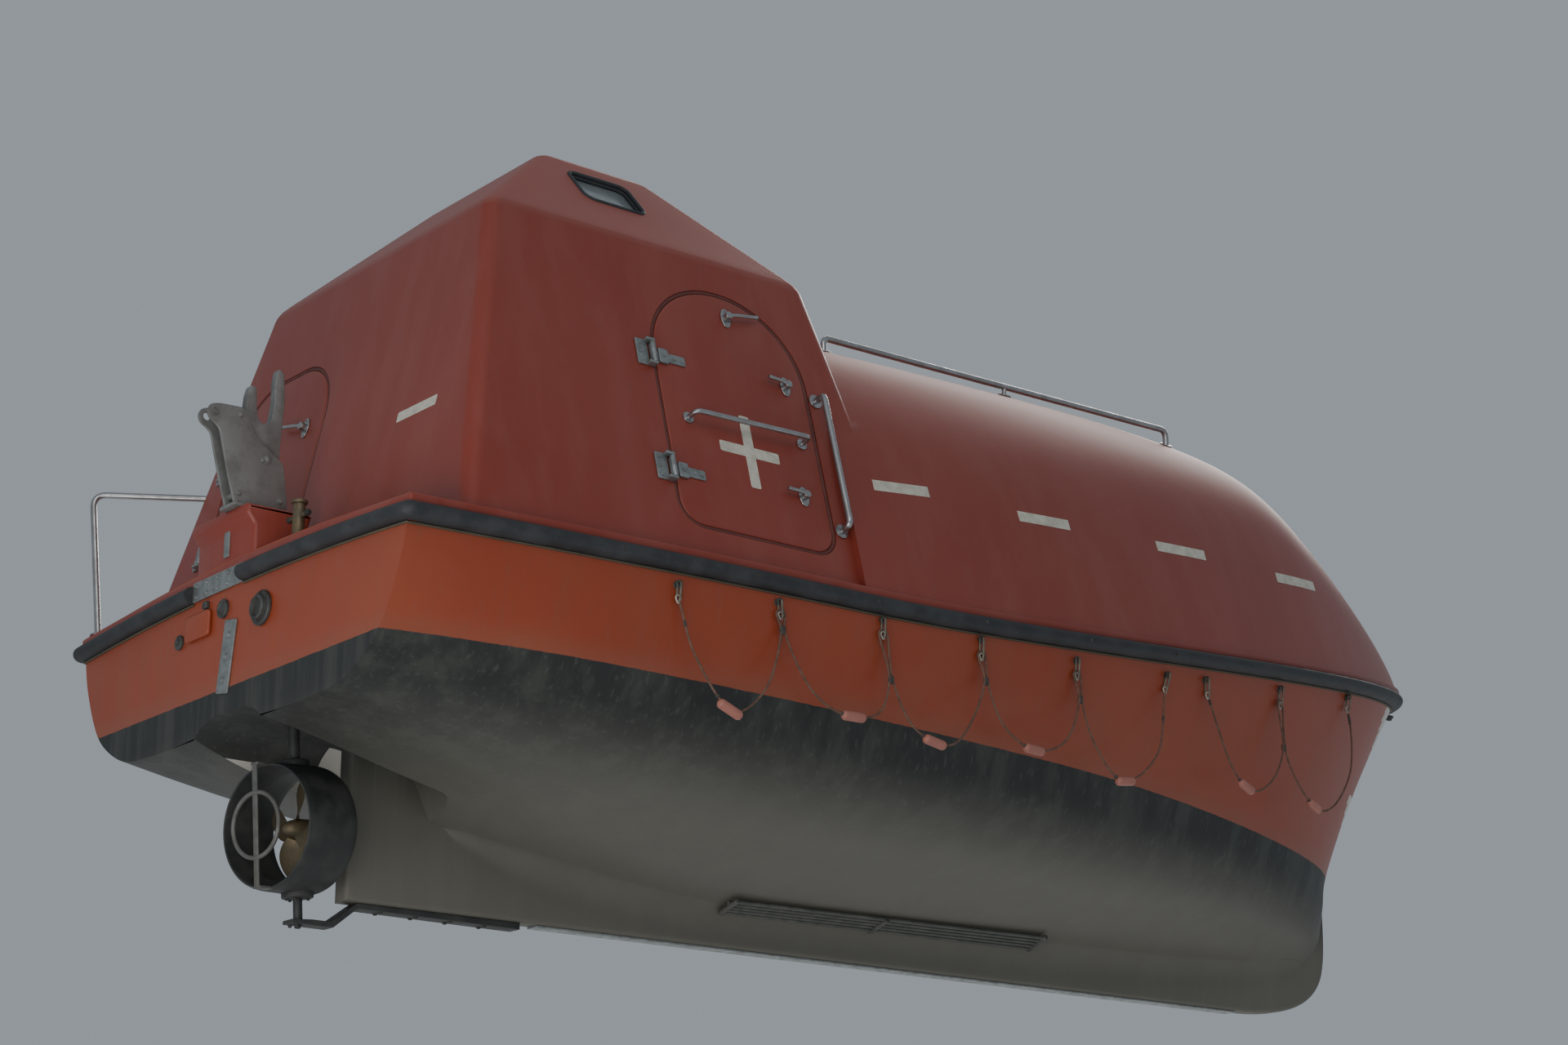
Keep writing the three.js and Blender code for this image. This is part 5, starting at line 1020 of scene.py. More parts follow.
def make_propeller():
    """Hub, shaft and four blades, and the boss at the heel that the shaft enters."""
    heel = (KEEL_HEEL_X - STOCK_X) / TILT_COS
    hub = turned([(0, 0.004), (0.002, 0.014), (0.012, 0.024), (0.030, 0.034), (0.060, 0.042), (0.130, 0.042),
                  (0.130, 0.020)], (-0.0585, 0, 0), (1, 0, 0))
    shaft = pin((0, 0, 0), (heel - 0.0243, 0, 0), 0.020)
    blades = [blade_part(2 * math.pi * i / 4 + 0.31) for i in range(4)]
    add_piece("propeller_bronze", on_shaft([hub, shaft] + blades), BRONZE, "propeller", ["propeller"])
    boss = pin((heel - 0.024, 0, 0), (heel - 0.0045, 0, 0), 0.048, 0.2, 36)
    add_piece("stern_tube_boss", on_shaft([boss]), DARK_STEEL, "boat", ["stern_tube"])


def keel_z(x):
    return KEEL_HEEL_Z + (KEEL_FORE_Z - KEEL_HEEL_Z) * (x - KEEL_HEEL_X) / (KEEL_FORE_X - KEEL_HEEL_X)


def side_plate(outline, y0, y1, ease=0.003):
    """A plate drawn in the upright plane along the boat, from y0 to y1."""
    outline = np.asarray(outline, float)
    x, y = outline.T
    area = np.sum(x * np.roll(y, -1) - np.roll(x, -1) * y)
    if area < 0:
        outline = outline[::-1]
    points, faces = plate(outline, y0, y1, ease)
    return points[:, [0, 2, 1]], faces


def make_sole_piece():
    """The bar under the keel's heel, whose palm lies square to the stock."""
    palm, heel, slope = PALM_Z, keel_z(1.0) - 0.0063, math.tan(SHAFT_TILT)
    pin_x = STOCK_X - (palm - SHAFT_Z) * slope
    half, thick, fore_x = 0.045, 0.018, 1.340
    palm_aft, palm_fore = palm - half * slope, palm + half * slope
    outline = [(pin_x - half, palm_aft), (pin_x - half, palm - thick), (0.485, palm - thick), (0.590, heel - thick),
               (fore_x, heel - thick), (fore_x, keel_z(fore_x) - 0.0003), (0.585, keel_z(0.585) - 0.0003),
               (0.470, palm_fore), (pin_x + half, palm_fore)]
    parts = [side_plate(outline, -0.038, 0.038, 0.003)]
    for x in (0.70, 0.86, 1.02, 1.18):
        for y in (-0.020, 0.020):
            parts += bolt((x, y, heel - thick), (0, 0, -1), 0.008, 0.007)
    for y in (-0.024, 0.024):
        parts += bolt((pin_x - 0.020, y, palm - thick), (0, 0, -1), 0.007, 0.010)
    parts += bolt((pin_x, 0, palm - thick), (0, 0, -1), 0.012, 0.014)
    add_piece("sole_piece_steel", parts, DARK_STEEL, "boat", ["sole_piece"])


def make_keel_shoe():
    """A flat strip that follows the slope of the keel."""
    x0, x1, thick, half = 1.420, 5.480, 0.008, 0.032
    outline = [(x0, keel_z(x0) - 0.0003 - thick), (x1, keel_z(x1) - 0.0003 - thick),
               (x1, keel_z(x1) - 0.0003), (x0, keel_z(x0) - 0.0003)]
    parts = [side_plate(outline, -half, half, 0.002)]
    add_piece("keel_shoe_strip", parts, GALVANISED, "boat", ["keel_shoe"])


def make_cooler():
    """Five pipes side by side below the bottom, joined by three cross pipes on stubs."""
    first_y, pitch, radius, drop = -0.112, 0.025, 0.009, 0.026
    x0, x1 = 2.290, 4.070
    rows = first_y - pitch * np.arange(5)
    parts = []
    for y in rows:
        ends = [(x, y, float(bottom_z(x, y)) - drop) for x in (x0, x1)]
        parts.append(pin(ends[0], ends[1], radius, 0.1, 14))
    middle = (rows[0] + rows[-1]) / 2
    for x in (x0 + 0.010, (x0 + x1) / 2 - 0.060, x1 - 0.010):
        ends = [(x, y, float(bottom_z(x, y)) - drop) for y in (rows[0] + 0.012, rows[-1] - 0.012)]
        parts.append(pin(ends[0], ends[1], 0.012, 0.2, 16))
        z = float(bottom_z(x, middle))
        parts.append(pin((x, middle, z - drop), (x, middle, z - 0.001), 0.009))
    add_piece("keel_cooler_pipes", parts, COOLER_METAL, "boat", ["keel_cooler"])


# Hooks and posts

HOOK_PLATE = [(-0.100, 0), (0.130, 0), (0.128, 0.060), (0.104, 0.212), (-0.010, 0.290), (-0.072, 0.396),
              (-0.092, 0.410), (-0.190, 0.406), (-0.228, 0.396), (-0.243, 0.366), (-0.232, 0.336), (-0.205, 0.322),
              (-0.183, 0.300), (-0.139, 0.127)]
HOOK_SHAPE = [(-0.020, 0.180), (0.060, 0.165), (0.095, 0.230), (0.100, 0.340), (0.108, 0.480), (0.100, 0.600),
              (0.072, 0.617), (0.062, 0.560), (0.064, 0.470), (0.052, 0.390), (0.020, 0.365), (-0.010, 0.390),
              (-0.016, 0.450), (-0.020, 0.515), (-0.045, 0.521), (-0.058, 0.480), (-0.062, 0.400), (-0.050, 0.320),
              (-0.030, 0.250)]
HOOK_EYE, HOOK_PIVOT = (-0.205, 0.366), (0.030, 0.215)
CHEEK_IN, CHEEK_OUT, HORN_HALF, FOOT_THICK = 0.030, 0.042, 0.020, 0.014
HOOK_SPACERS = ((-0.088, 0.055), (0.095, 0.055))
CHEEK_BOLTS = [(*at, 0.009) for at in HOOK_SPACERS]
CHEEK_BOLTS += [(*HOOK_PIVOT, 0.014), (-0.097, 0.376, 0.009), (0.011, 0.209, 0.008)]


def make_hook(label, x0, z, way, body):
    """A pair of plates on a foot, drilled for an eye, with the hook pivoted between them. With way
    -1 it faces the stern."""
    def placed(points):
        return np.array(points, float) * (way, 1) + (x0, z)

    def cross_pin(at, half, radius, ease=0.12, sides=24):
        (px, pz), = placed([at])
        return pin((px, -half, pz), (px, half, pz), radius, ease, sides)

    outline = eased_outline(placed(HOOK_PLATE), 0.014)
    plates = [side_plate(outline, -CHEEK_OUT, -CHEEK_IN), side_plate(outline, CHEEK_IN, CHEEK_OUT)]
    frame_piece = solid(f"{label}_hook_plates", plates)
    worked(frame_piece, [solid("eye", [cross_pin(HOOK_EYE, 0.060, 0.016, 0.01, 32)])], "DIFFERENCE")
    finish_piece(frame_piece, HOOK_STEEL, "boat", [f"{label}_hook_frame"])
    foot = sorted((x0 - way * 0.115, x0 + way * 0.145))
    parts = [box_part(foot[0], foot[1], -0.060, 0.060, z, z + FOOT_THICK, 0.003, 0.008),
             *(cross_pin(at, 0.036, 0.014) for at in HOOK_SPACERS)]
    for px, pz, radius in CHEEK_BOLTS:
        (bx, bz), = placed([(px, pz)])
        for side in (-1, 1):
            parts += bolt((bx, side * CHEEK_OUT, bz), (0, side, 0), radius, 0.010)
    for px in (-0.098, 0.126):
        (bx, _), = placed([(px, 0)])
        for y in (-0.049, 0.049):
            parts += bolt((bx, y, z + FOOT_THICK), (0, 0, 1), 0.006, 0.008)
    add_piece(f"{label}_hook_fixings", parts, HOOK_STEEL, "boat")
    horn = side_plate(eased_outline(placed(HOOK_SHAPE), 0.016), -HORN_HALF, HORN_HALF, 0.003)
    hook = [horn, cross_pin(HOOK_PIVOT, 0.0297, 0.016)]
    add_piece(f"{label}_hook_horn", hook, HOOK_STEEL, body, [f"{label}_hook"])


def make_pedestal():
    """The block under the aft hook, which leans out over its faces, and the strap on its aft face."""
    foot, top, y0, y1 = 1.205, 1.4597, -0.127, 0.325
    outline = eased_outline(np.array([(0.003, foot), (0.190, foot), (0.260, top), (-0.030, top),
                                      (-0.030, top - 0.038), (0.003, top - 0.078)]), 0.012, 3)
    points, faces = side_plate(outline, y0, y1, 0.018)
    plinth = seated_on_deck("aft_hook_plinth", (points, faces))
    finish_piece(plinth, CANOPY_PAINT, "boat", ["aft_hook_pedestal"], 32)
    strap = rounded(0.058, 0.098, 1.285, 1.452, 0.006, steps=3)
    strap = moved(aft_plate(strap, -0.0005, 0.007), np.eye(3), (0.003, 0, 0))
    add_piece("aft_hook_strap", [strap], GALVANISED, "boat")


def make_mooring_post():
    """A post on a round foot, with a pin across it."""
    x, y, top, pin_z = 0.085, -0.325, 1.436, 1.372
    foot = seated_on_deck("mooring_post_foot", pin((x, y, 1.205), (x, y, 1.275), 0.048, 0.05, 40))
    finish_piece(foot, BRONZE, "boat", ["mooring_post"])
    parts = [pin((x, y, 1.268), (x, y, top - 0.010), 0.024, 0.02, 36),
             pin((x, y, top - 0.014), (x, y, top), 0.033, 0.3, 36),
             pin((x, y - 0.070, pin_z), (x, y + 0.070, pin_z), 0.010)]
    add_piece("mooring_post_shank", parts, BRONZE, "boat")
    knobs = [pin((x, y + side * 0.056, pin_z), (x, y + side * 0.0778, pin_z), 0.0125, 0.35, 24)
             for side in (-1, 1)]
    add_piece("mooring_post_knobs", knobs, DARK_STEEL, "boat")


def make_transom_fittings():
    """The chainplate, the outlet, the small caps and the cover on the transom."""
    y, z, lean, half_y, half_z = 0.022, 0.874, 0.157, 0.045, 0.145
    turn = np.array([[math.cos(lean), math.sin(lean)], [-math.sin(lean), math.cos(lean)]])
    strap = rounded(-half_y, half_y, -half_z, half_z, 0.006, steps=3) @ turn + (y, z)
    parts = [aft_plate(strap, 0.0003, 0.009)]
    for up in (0.085, -0.001, -0.093):
        (by, bz), = np.array([(0.0, up)]) @ turn + (y, z)
        parts += bolt((-0.009, by, bz), (-1, 0, 0), 0.012, 0.009)
    add_piece("chainplate_strap", parts, GALVANISED, "boat", ["chainplate"])
    outlet = (-0.236, 1.011)
    flange = turned([(0.0003, 0.067), (0.003, 0.069), (0.013, 0.069), (0.016, 0.066), (0.017, 0.051),
                     (0.030, 0.050), (0.034, 0.046), (0.034, 0.038), (0.020, 0.034), (0.020, 0.005)],
                    (0, *outlet), (-1, 0, 0), 56)
    rim = bolt_ring((-0.016, *outlet), (-1, 0, 0), (0, 1, 0), (0, 0, 1), 0.059, 0.0045, 0.004)
    add_piece("exhaust_outlet_flange", [flange] + rim, GALVANISED_DARK, "boat", ["exhaust_outlet"])
    disc = turned([(0.0003, 0.038), (0.012, 0.038), (0.015, 0.035), (0.016, 0.025), (0.012, 0.021), (0.012, 0.004)],
                  (0, 0.070, 1.075), (-1, 0, 0), 40)
    drain = turned([(0.0003, 0.030), (0.010, 0.030), (0.013, 0.026), (0.013, 0.014), (0.006, 0.012), (0.006, 0.003)],
                   (0, 0.420, 1.012), (-1, 0, 0), 36)
    block = aft_plate(rounded(0.192, 0.222, 1.104, 1.134, 0.005, steps=3), 0.0003, 0.020, 0.004)
    add_piece("transom_caps", [disc, drain, block], GALVANISED_DARK, "boat")
    cover = aft_plate(rounded(0.166, 0.357, 0.993, 1.098, 0.016, steps=5), 0.0003, 0.020, 0.010, 4)
    add_piece("transom_cover", [cover], HULL_PAINT, "boat")


def stem_x(z):
    """The stem's line between the two highest hull lines, a millimetre proud."""
    rake = (GUNWALE["stem_x"] - TOPSIDE_LINE["stem_x"]) / (GUNWALE["stem_z"] - TOPSIDE_LINE["stem_z"])
    return TOPSIDE_LINE["stem_x"] + rake * (z - TOPSIDE_LINE["stem_z"]) + 0.001


EYE_X = 6.800


def make_bow_fittings():
    """The towing pin under the stem head and the eye on top of it."""
    low, high = GUNWALE["stem_z"] - 0.140, GUNWALE["stem_z"] - FENDER_DROP - FENDER_HALF - 0.004
    x = stem_x(high)
    outline = [(stem_x(low), low), (x + 0.052, high - 0.014), (x + 0.052, high), (x, high)]
    parts = [side_plate(eased_outline(np.array(outline), 0.004, 3), -0.015, 0.015, 0.003),
             pin((x + 0.034, 0, low + 0.014), (x + 0.034, 0, high), 0.014, 0.2, 28)]
    add_piece("bow_towing_gear", parts, GALVANISED_DARK, "boat", ["bow_towing_pin"])
    z = GUNWALE["stem_z"]
    lug_outline = rounded(EYE_X - 0.013, EYE_X + 0.013, z - 0.010, z + 0.044, 0.006, steps=3)
    lug = seated_on_deck("painter_eye_lug", side_plate(lug_outline, -0.006, 0.006, 0.002))
    finish_piece(lug, GALVANISED_DARK, "boat", ["painter_eye"])
    ring_path = hoop((EYE_X, 0, z + 0.058), 0.020, (1, 0, 0), (0, 0, 1), 32)
    add_piece("painter_eye_ring", [swept(ring_path, circle(0.006, 12), (0, 1, 0), closed=True)],
              GALVANISED_DARK, "boat")


# Rails


def make_roof_rail(side, sign):
    """A rail along the arch on three feet, with a round pad under each."""
    y = sign * 0.410
    x0, x_mid, x1, low, climb, radius = 2.620, 3.705, 4.765, 2.682, 0.032, 0.015

    def top(x):
        return low + climb * (x - x0) / (x1 - x0)

    foot = {x: arch_top(x, y) for x in (x0, x_mid, x1)}
    corners = [(x0, y, foot[x0] + 0.001), (x0, y, top(x0)), (x1, y, top(x1)), (x1, y, foot[x1] + 0.001)]
    path = bend(corners, 0.045, 10)
    parts = [swept(path, circle(radius, 20), (0, 1, 0)),
             pin((x_mid, y, foot[x_mid] + 0.001), (x_mid, y, top(x_mid)), 0.011)]
    for x in (x0, x_mid, x1):
        tilt = (arch_top(x, abs(y) + 0.02) - arch_top(x, abs(y) - 0.02)) / 0.04 * sign
        out = unit(np.array([0.0, -tilt, 1.0]))
        at = np.array([x, y, foot[x]])
        parts.append(pin(at + out * 0.001, at + out * 0.008, 0.032, 0.1, 28))
    add_piece(f"roof_rail_{side}_tube", parts, POLISHED, "boat", [f"roof_rail_{side}"])


def make_aft_rail():
    """A grab rail from the deck up past the cabin's port corner to its side."""
    deck = float(line_height(np.array([0.022]), GUNWALE)[0]) + DECK_RISE * (1 - (1.208 / 1.28) ** 2)
    path = bend([(0.022, 1.208, deck + 0.001), (0.002, 1.306, 1.855), (0.420, 1.040, 1.853)], 0.060, 12)
    parts = [swept(path, circle(0.014, 24), (0.3, 1, 0)),
             pin((0.022, 1.208, deck + 0.001), (0.0218, 1.209, deck + 0.008), 0.034, 0.1, 32)]
    add_piece("aft_rail_tube", parts, POLISHED, "boat", ["aft_rail"])


# Grab lines

ROPE_DIAMETER, ROPE_OFF, PEG_OUT = 0.009, 0.020, 0.020
# Points that each line passes, as (x, z); at a peg it goes up one side, round and down the other
AFT_LINE = np.array([
    (1.195, 1.017), (1.273, 0.818), (1.456, 0.630), (1.607, 0.739), (1.683, 0.992), (1.661, 1.054), (1.673, 1.068),
    (1.691, 1.068), (1.703, 1.054), (1.701, 0.992), (1.839, 0.772), (1.991, 0.704), (2.179, 0.735), (2.238, 0.885),
    (2.186, 1.066), (2.198, 1.080), (2.216, 1.080), (2.228, 1.066), (2.256, 0.885), (2.377, 0.703), (2.592, 0.675),
    (2.772, 0.970), (2.736, 1.074), (2.748, 1.088), (2.766, 1.088), (2.778, 1.074), (2.790, 0.970), (2.883, 0.799),
    (3.065, 0.727), (3.262, 0.795), (3.360, 0.998), (3.329, 1.099), (3.341, 1.113), (3.359, 1.113), (3.371, 1.099),
    (3.378, 0.998), (3.445, 0.831), (3.634, 0.688), (3.894, 0.850), (3.962, 1.137)])
FORE_LINE = np.array([
    (4.302, 1.178), (4.330, 1.128), (4.393, 1.022), (4.470, 0.908), (4.577, 0.832), (4.680, 0.821), (4.795, 0.870),
    (4.890, 0.955), (4.952, 1.080), (4.920, 1.279), (4.932, 1.293), (4.950, 1.293), (4.962, 1.279), (4.970, 1.080),
    (5.010, 1.005), (5.121, 0.915), (5.254, 0.856), (5.361, 0.854), (5.480, 0.903), (5.600, 1.000), (5.690, 1.115),
    (5.720, 1.240), (5.716, 1.340), (5.696, 1.407)])
AFT_PEGS = ((1.190, 1.030), (1.682, 1.050), (2.207, 1.062), (2.757, 1.070), (3.350, 1.095), (3.965, 1.150))
FORE_PEGS = ((4.295, 1.190), (4.941, 1.275), (5.692, 1.420))
AFT_EYES = ((1.190, 1.085), (1.674, 1.101), (2.203, 1.118), (2.747, 1.136), (3.339, 1.158), (3.969, 1.214))
FORE_EYES = ((4.268, 1.251), (4.923, 1.344), (5.677, 1.473))
AFT_FLOATS = ((1.440, 0.655), (2.060, 0.701), (2.480, 0.670), (3.070, 0.730), (3.660, 0.700))
FORE_FLOATS = ((4.600, 0.826), (5.250, 0.853))
AFT_TIES = ((1.692, 0.990), (2.247, 0.884), (2.781, 0.968), (3.369, 0.996))
FORE_TIES = ((4.961, 1.078), (5.719, 1.362))
# Lashings: half widths of one that holds both runs at a peg and of one round a single run, and how
# deep they are; the line's last peg, from this x on, has a single run
WIDE_TIE, NARROW_TIE, TIE_DEEP, LAST_PEG_X = 0.0155, 0.0062, 0.0068, 5.7
KNOT_PROFILE = [(0, 0.0050), (0.004, 0.0085), (0.010, 0.0085), (0.013, 0.0052)]


def off_hull(x, pegs, out, side):
    """How far off the centreline, on one side: the skin's breadth and the way out at each peg,
    with straight runs between them that go on beyond the last."""
    at = np.array([px for px, _ in pegs])
    breadth = np.array([skin_y(px, pz) + out for px, pz in pegs])
    slope = (breadth[-1] - breadth[-2]) / (at[-1] - at[-2])
    beyond = np.maximum(0, np.asarray(x) - at[-1])
    return side * (np.interp(x, at, breadth) + slope * beyond)


def smooth_line(points, steps=10):
    """A curve through points: cubic pieces whose slopes weigh each chord by the root of its length."""
    points = np.concatenate([[2 * points[0] - points[1]], points, [2 * points[-1] - points[-2]]])
    chord = np.diff(points, axis=0)
    gap = np.sqrt(np.linalg.norm(chord, axis=1))[:, None]
    before, here, after = chord[:-2], chord[1:-1], chord[2:]
    g0, g1, g2 = gap[:-2], gap[1:-1], gap[2:]
    leaving = ((before / g0 - (before + here) / (g0 + g1) + here / g1) * g1)[:, None]
    arriving = ((here / g1 - (here + after) / (g1 + g2) + after / g2) * g1)[:, None]
    start, end = points[1:-2, None], points[2:-1, None]
    t = np.linspace(0, 1, steps, endpoint=False)[None, :, None]
    curve = ((2 * t ** 3 - 3 * t ** 2 + 1) * start + (t ** 3 - 2 * t ** 2 + t) * leaving
             + (3 * t ** 2 - 2 * t ** 3) * end + (t ** 3 - t ** 2) * arriving)
    return np.concatenate([curve.reshape(-1, points.shape[1]), points[-2:-1]])


def along_line(path, at):
    """The point of a path nearest to (x, z), with the direction of the path there."""
    i = int(np.argmin(np.linalg.norm(path[:, [0, 2]] - at, axis=1)))
    low, high = max(0, i - 2), min(len(path) - 1, i + 2)
    return path[i], unit(path[high] - path[low])


def float_part(path, at, half=0.060, radius=0.020):
    """A capsule threaded on the line: its radius falls at each end as a quarter circle."""
    middle, along = along_line(path, np.array(at))
    a = np.linspace(0, np.pi / 2, 7)
    cap = np.stack([0.018 * (1 - np.cos(a)), radius * np.sin(a)], 1)
    cap[0, 1] = 0.005
    profile = np.concatenate([cap, (2 * half, 0) + cap[::-1] * (-1, 1)])
    return turned(profile, middle - along * half, along, 28)


def tie_part(path, at, half_x, half_y, length=0.035):
    """A lashing of thin line: an oval sleeve with shallow grooves, its radius waved by a cosine."""
    middle, along = along_line(path, np.array(at))
    along = unit(np.array([0.10, 0.0, 1.0])) if half_x > NARROW_TIE else along
    side = unit(np.cross(along, (0, 1, 0)))
    out = np.cross(side, along)
    t = np.linspace(-0.5, 0.5, 29)[:, None, None]
    ease = np.sqrt(np.maximum(0.25, 1 - (2 * t) ** 8)) * (1 - 0.05 * (1 + np.cos(t * 14 * np.pi)))
    ring = circle(1.0, 20)[None]
    grid = (np.array([at[0], middle[1], at[1]]) if half_x > NARROW_TIE else middle) + (
        t * length * along + ease * (ring[..., :1] * half_x * side + ring[..., 1:] * half_y * out))
    return shell(grid)


def make_grab_line(label, side_name, side, route, pegs, floats, ties):
    """One continuous line that hangs in bights between its pegs, with its floats and lashings."""
    y = off_hull(route[:, 0], pegs, ROPE_OFF, side)
    path = smooth_line(np.stack([route[:, 0], y, route[:, 1]], 1))
    name = f"grab_line_{label}_{side_name}"
    line = swept(path, circle(ROPE_DIAMETER / 2, 12), (0, 1, 0))
    rope = add_piece(name + "_rope", [line], ROPE, "boat", [name], sharp=60)
    threaded = [float_part(path, at) for at in floats]
    float_piece = add_piece(name + "_floats", threaded, FLOAT_PINK, "boat")
    lashings = [tie_part(path, at, WIDE_TIE if at[0] < LAST_PEG_X else NARROW_TIE, TIE_DEEP) for at in ties]
    for at in (path[4], path[-5]):
        lashings.append(tie_part(path, (at[0], at[2]), NARROW_TIE, NARROW_TIE, 0.030))
    for at in floats:
        end, along = along_line(path, np.array(at) - (0.066, 0.0))
        lashings.append(turned(KNOT_PROFILE, end - along * 0.006, along, 16))
    tie_piece = add_piece(name + "_lashings", lashings, LASHING, "boat")


def skin_out(x, z):
    """Outward direction of the hull's side at a station and a height, by differences."""
    step = 0.010
    return unit(np.array([skin_y(x - step, z) - skin_y(x + step, z), 2 * step,
                          skin_y(x, z - step) - skin_y(x, z + step)]))


def eye_bolt(x, z, peg, pegs):
    """A forged eye on its disc, with the bow of a shackle down to the line's loop."""
    y = skin_y(x, z)
    out = skin_out(x, z)
    at = np.array([x, y, z])
    centre = at + (0, PEG_OUT, 0)
    ring = hoop(centre, 0.011, (1, 0, 0), (0, 0, 1), 24)
    parts = [pin(at - out * 0.002, at + out * 0.005, 0.016, 0.3, 28), pin(at, at + (0, 0.014, 0), 0.006, 0.1, 16),
             swept(ring, circle(0.0045, 12), (0, 1, 0), closed=True)]
    low, high = peg[1] - 0.001, z - 0.003
    peg_y = float(off_hull(peg[0], pegs, ROPE_OFF, 1))
    half = 0.0115
    angle = np.concatenate([np.linspace(0, np.pi, 9), np.linspace(np.pi, 2 * np.pi, 9)])
    share = np.repeat([1.0, 0.0], 9)
    path = np.stack([peg[0] + (x - peg[0]) * share,
                     peg_y + (centre[1] - peg_y) * share + half * np.cos(angle),
                     low + (high - low) * share + half * np.sin(angle)], 1)
    shackle = swept(path, circle(0.0043, 12), (1, 0, 0), closed=True)
    angle = np.linspace(0, 2 * np.pi, 28, endpoint=False)
    below = np.sin(angle) < 0
    width = np.where(below, 1 + 0.45 * np.sin(angle), 1.0)
    drop = np.where(below, 1.9, 1.0)
    thimble_path = np.stack([peg[0] + 0.0115 * np.cos(angle) * width, np.full_like(angle, peg_y),
                             peg[1] + 0.001 + 0.0105 * drop * np.sin(angle)], 1)
    thimble = swept(thimble_path, circle(0.0033, 10), (0, 1, 0), closed=True)
    return parts, shackle, thimble


def make_eyes():
    """All the pegs of both lines on both sides, as three pieces."""
    eyes, shackles, thimbles = [], [], []
    for pegs, bolts in ((AFT_PEGS, AFT_EYES), (FORE_PEGS, FORE_EYES)):
        for peg, (x, z) in zip(pegs, bolts):
            parts, shackle, thimble = eye_bolt(x, z, peg, pegs)
            for side in (1, -1):
                flip = np.array([1, side, 1])
                eyes += [(points * flip, faces) for points, faces in parts]
                shackles.append((shackle[0] * flip, shackle[1]))
                thimbles.append((thimble[0] * flip, thimble[1]))
    add_piece("grab_line_eyes", eyes, GALVANISED_DARK, "boat")
    add_piece("grab_line_shackles", shackles, SHACKLE, "boat")
    add_piece("grab_line_thimbles", thimbles, THIMBLE, "boat")


def make_grab_lines():
    for side_name, side in (("port", 1), ("starboard", -1)):
        make_grab_line("aft", side_name, side, AFT_LINE, AFT_PEGS, AFT_FLOATS, AFT_TIES)
        make_grab_line("fore", side_name, side, FORE_LINE, FORE_PEGS, FORE_FLOATS, FORE_TIES)
# Reflective tapes


TAPE_WIDTH = 0.050
# The arch's tapes: where each starts and ends along the boat, its middle's height and its climb
ARCH_TAPES = ((2.285, 2.598, 1.760, 0.035), (3.119, 3.443, 1.794, 0.028),
              (4.050, 4.430, 1.868, 0.042), (5.060, 5.480, 1.964, 0.062))


def arch_patch(x0, x1, z_mid, width, sign, climb=0.0):
    """A thin patch that lies on the arch: a grid over x and height, moved out by its thickness."""
    u = np.linspace(0, 1, 14)[:, None]
    v = np.linspace(-0.5, 0.5, 6)[None]
    x = x0 + (x1 - x0) * u + 0 * v
    z = z_mid + climb * (u - 0.5) + width * v
    layers = [np.stack([x, sign * arch_y(x, z, off), z], -1) for off in (-0.0005, 0.0012)]
    return patch_shell(layers[0], layers[1])


def patch_shell(inner, outer):
    """A closed skin between two grids of the same size."""
    rows, columns = inner.shape[:2]
    count = rows * columns
    faces = [face[::-1] for face in grid_faces(rows, columns)]
    faces += [[v + count for v in face] for face in grid_faces(rows, columns)]
    edge = ([(0, c) for c in range(columns)] + [(r, columns - 1) for r in range(1, rows)]
            + [(rows - 1, c) for c in range(columns - 2, -1, -1)] + [(r, 0) for r in range(rows - 2, 0, -1)])
    ids = [r * columns + c for r, c in edge]
    for a, b in zip(ids, ids[1:] + ids[:1]):
        faces.append([a, b, b + count, a + count])
    return np.concatenate([inner.reshape(-1, 3), outer.reshape(-1, 3)]), faces


def make_tapes():
    """Reflective tapes on the arch, the side doors and the aft wall."""
    for side, sign in (("starboard", -1), ("port", 1)):
        parts = [arch_patch(x0, x1, z, TAPE_WIDTH, sign, climb) for x0, x1, z, climb in ARCH_TAPES]
        add_piece(f"tapes_{side}", parts, TAPE, "boat")
    for name, wall, sign in (("starboard_door", STARBOARD, 1), ("port_door", PORT, -1)):
        x, y, half = sign * 1.670, 0.580, TAPE_WIDTH / 2
        upright = plate(rounded(x - half, x + half, y - 0.170, y + 0.170, 0.008, steps=3), 0.0008, 0.0026, 0.0006, 1)
        level = plate(rounded(x - 0.150, x + 0.150, y - half, y + half, 0.008, steps=3), 0.0008, 0.0020, 0.0006, 1)
        add_piece(name + "_tape", [wall.put(upright), wall.put(level)], TAPE, name)
    strip = plate(rounded(0.550, 0.830, 0.560, 0.605, 0.006, steps=3), -0.0003, 0.0012, 0.0005, 1)
    add_piece("tapes_aft", [AFT.put(strip)], TAPE, "boat")


# Materials


def group(name, inputs, outputs):
    """A shader node group with its sockets and its two ends."""
    tree = bpy.data.node_groups.new(name, "ShaderNodeTree")
    for label, kind, value in inputs:
        socket = tree.interface.new_socket(name=label, in_out="INPUT", socket_type=kind)
        if value is not None:
            socket.default_value = value
    for label, kind in outputs:
        tree.interface.new_socket(name=label, in_out="OUTPUT", socket_type=kind)
    return tree, tree.nodes.new("NodeGroupInput"), tree.nodes.new("NodeGroupOutput")


FLOAT, VECTOR = "NodeSocketFloat", "NodeSocketVector"


def math_node(tree, operation, a, b=None):
    node = tree.nodes.new("ShaderNodeMath")
    node.operation = operation
    for socket, value in zip(node.inputs, (a, b)):
        if value is None:
            continue
        if isinstance(value, (int, float)):
            socket.default_value = value
        else:
            tree.links.new(value, socket)
    return node.outputs[0]


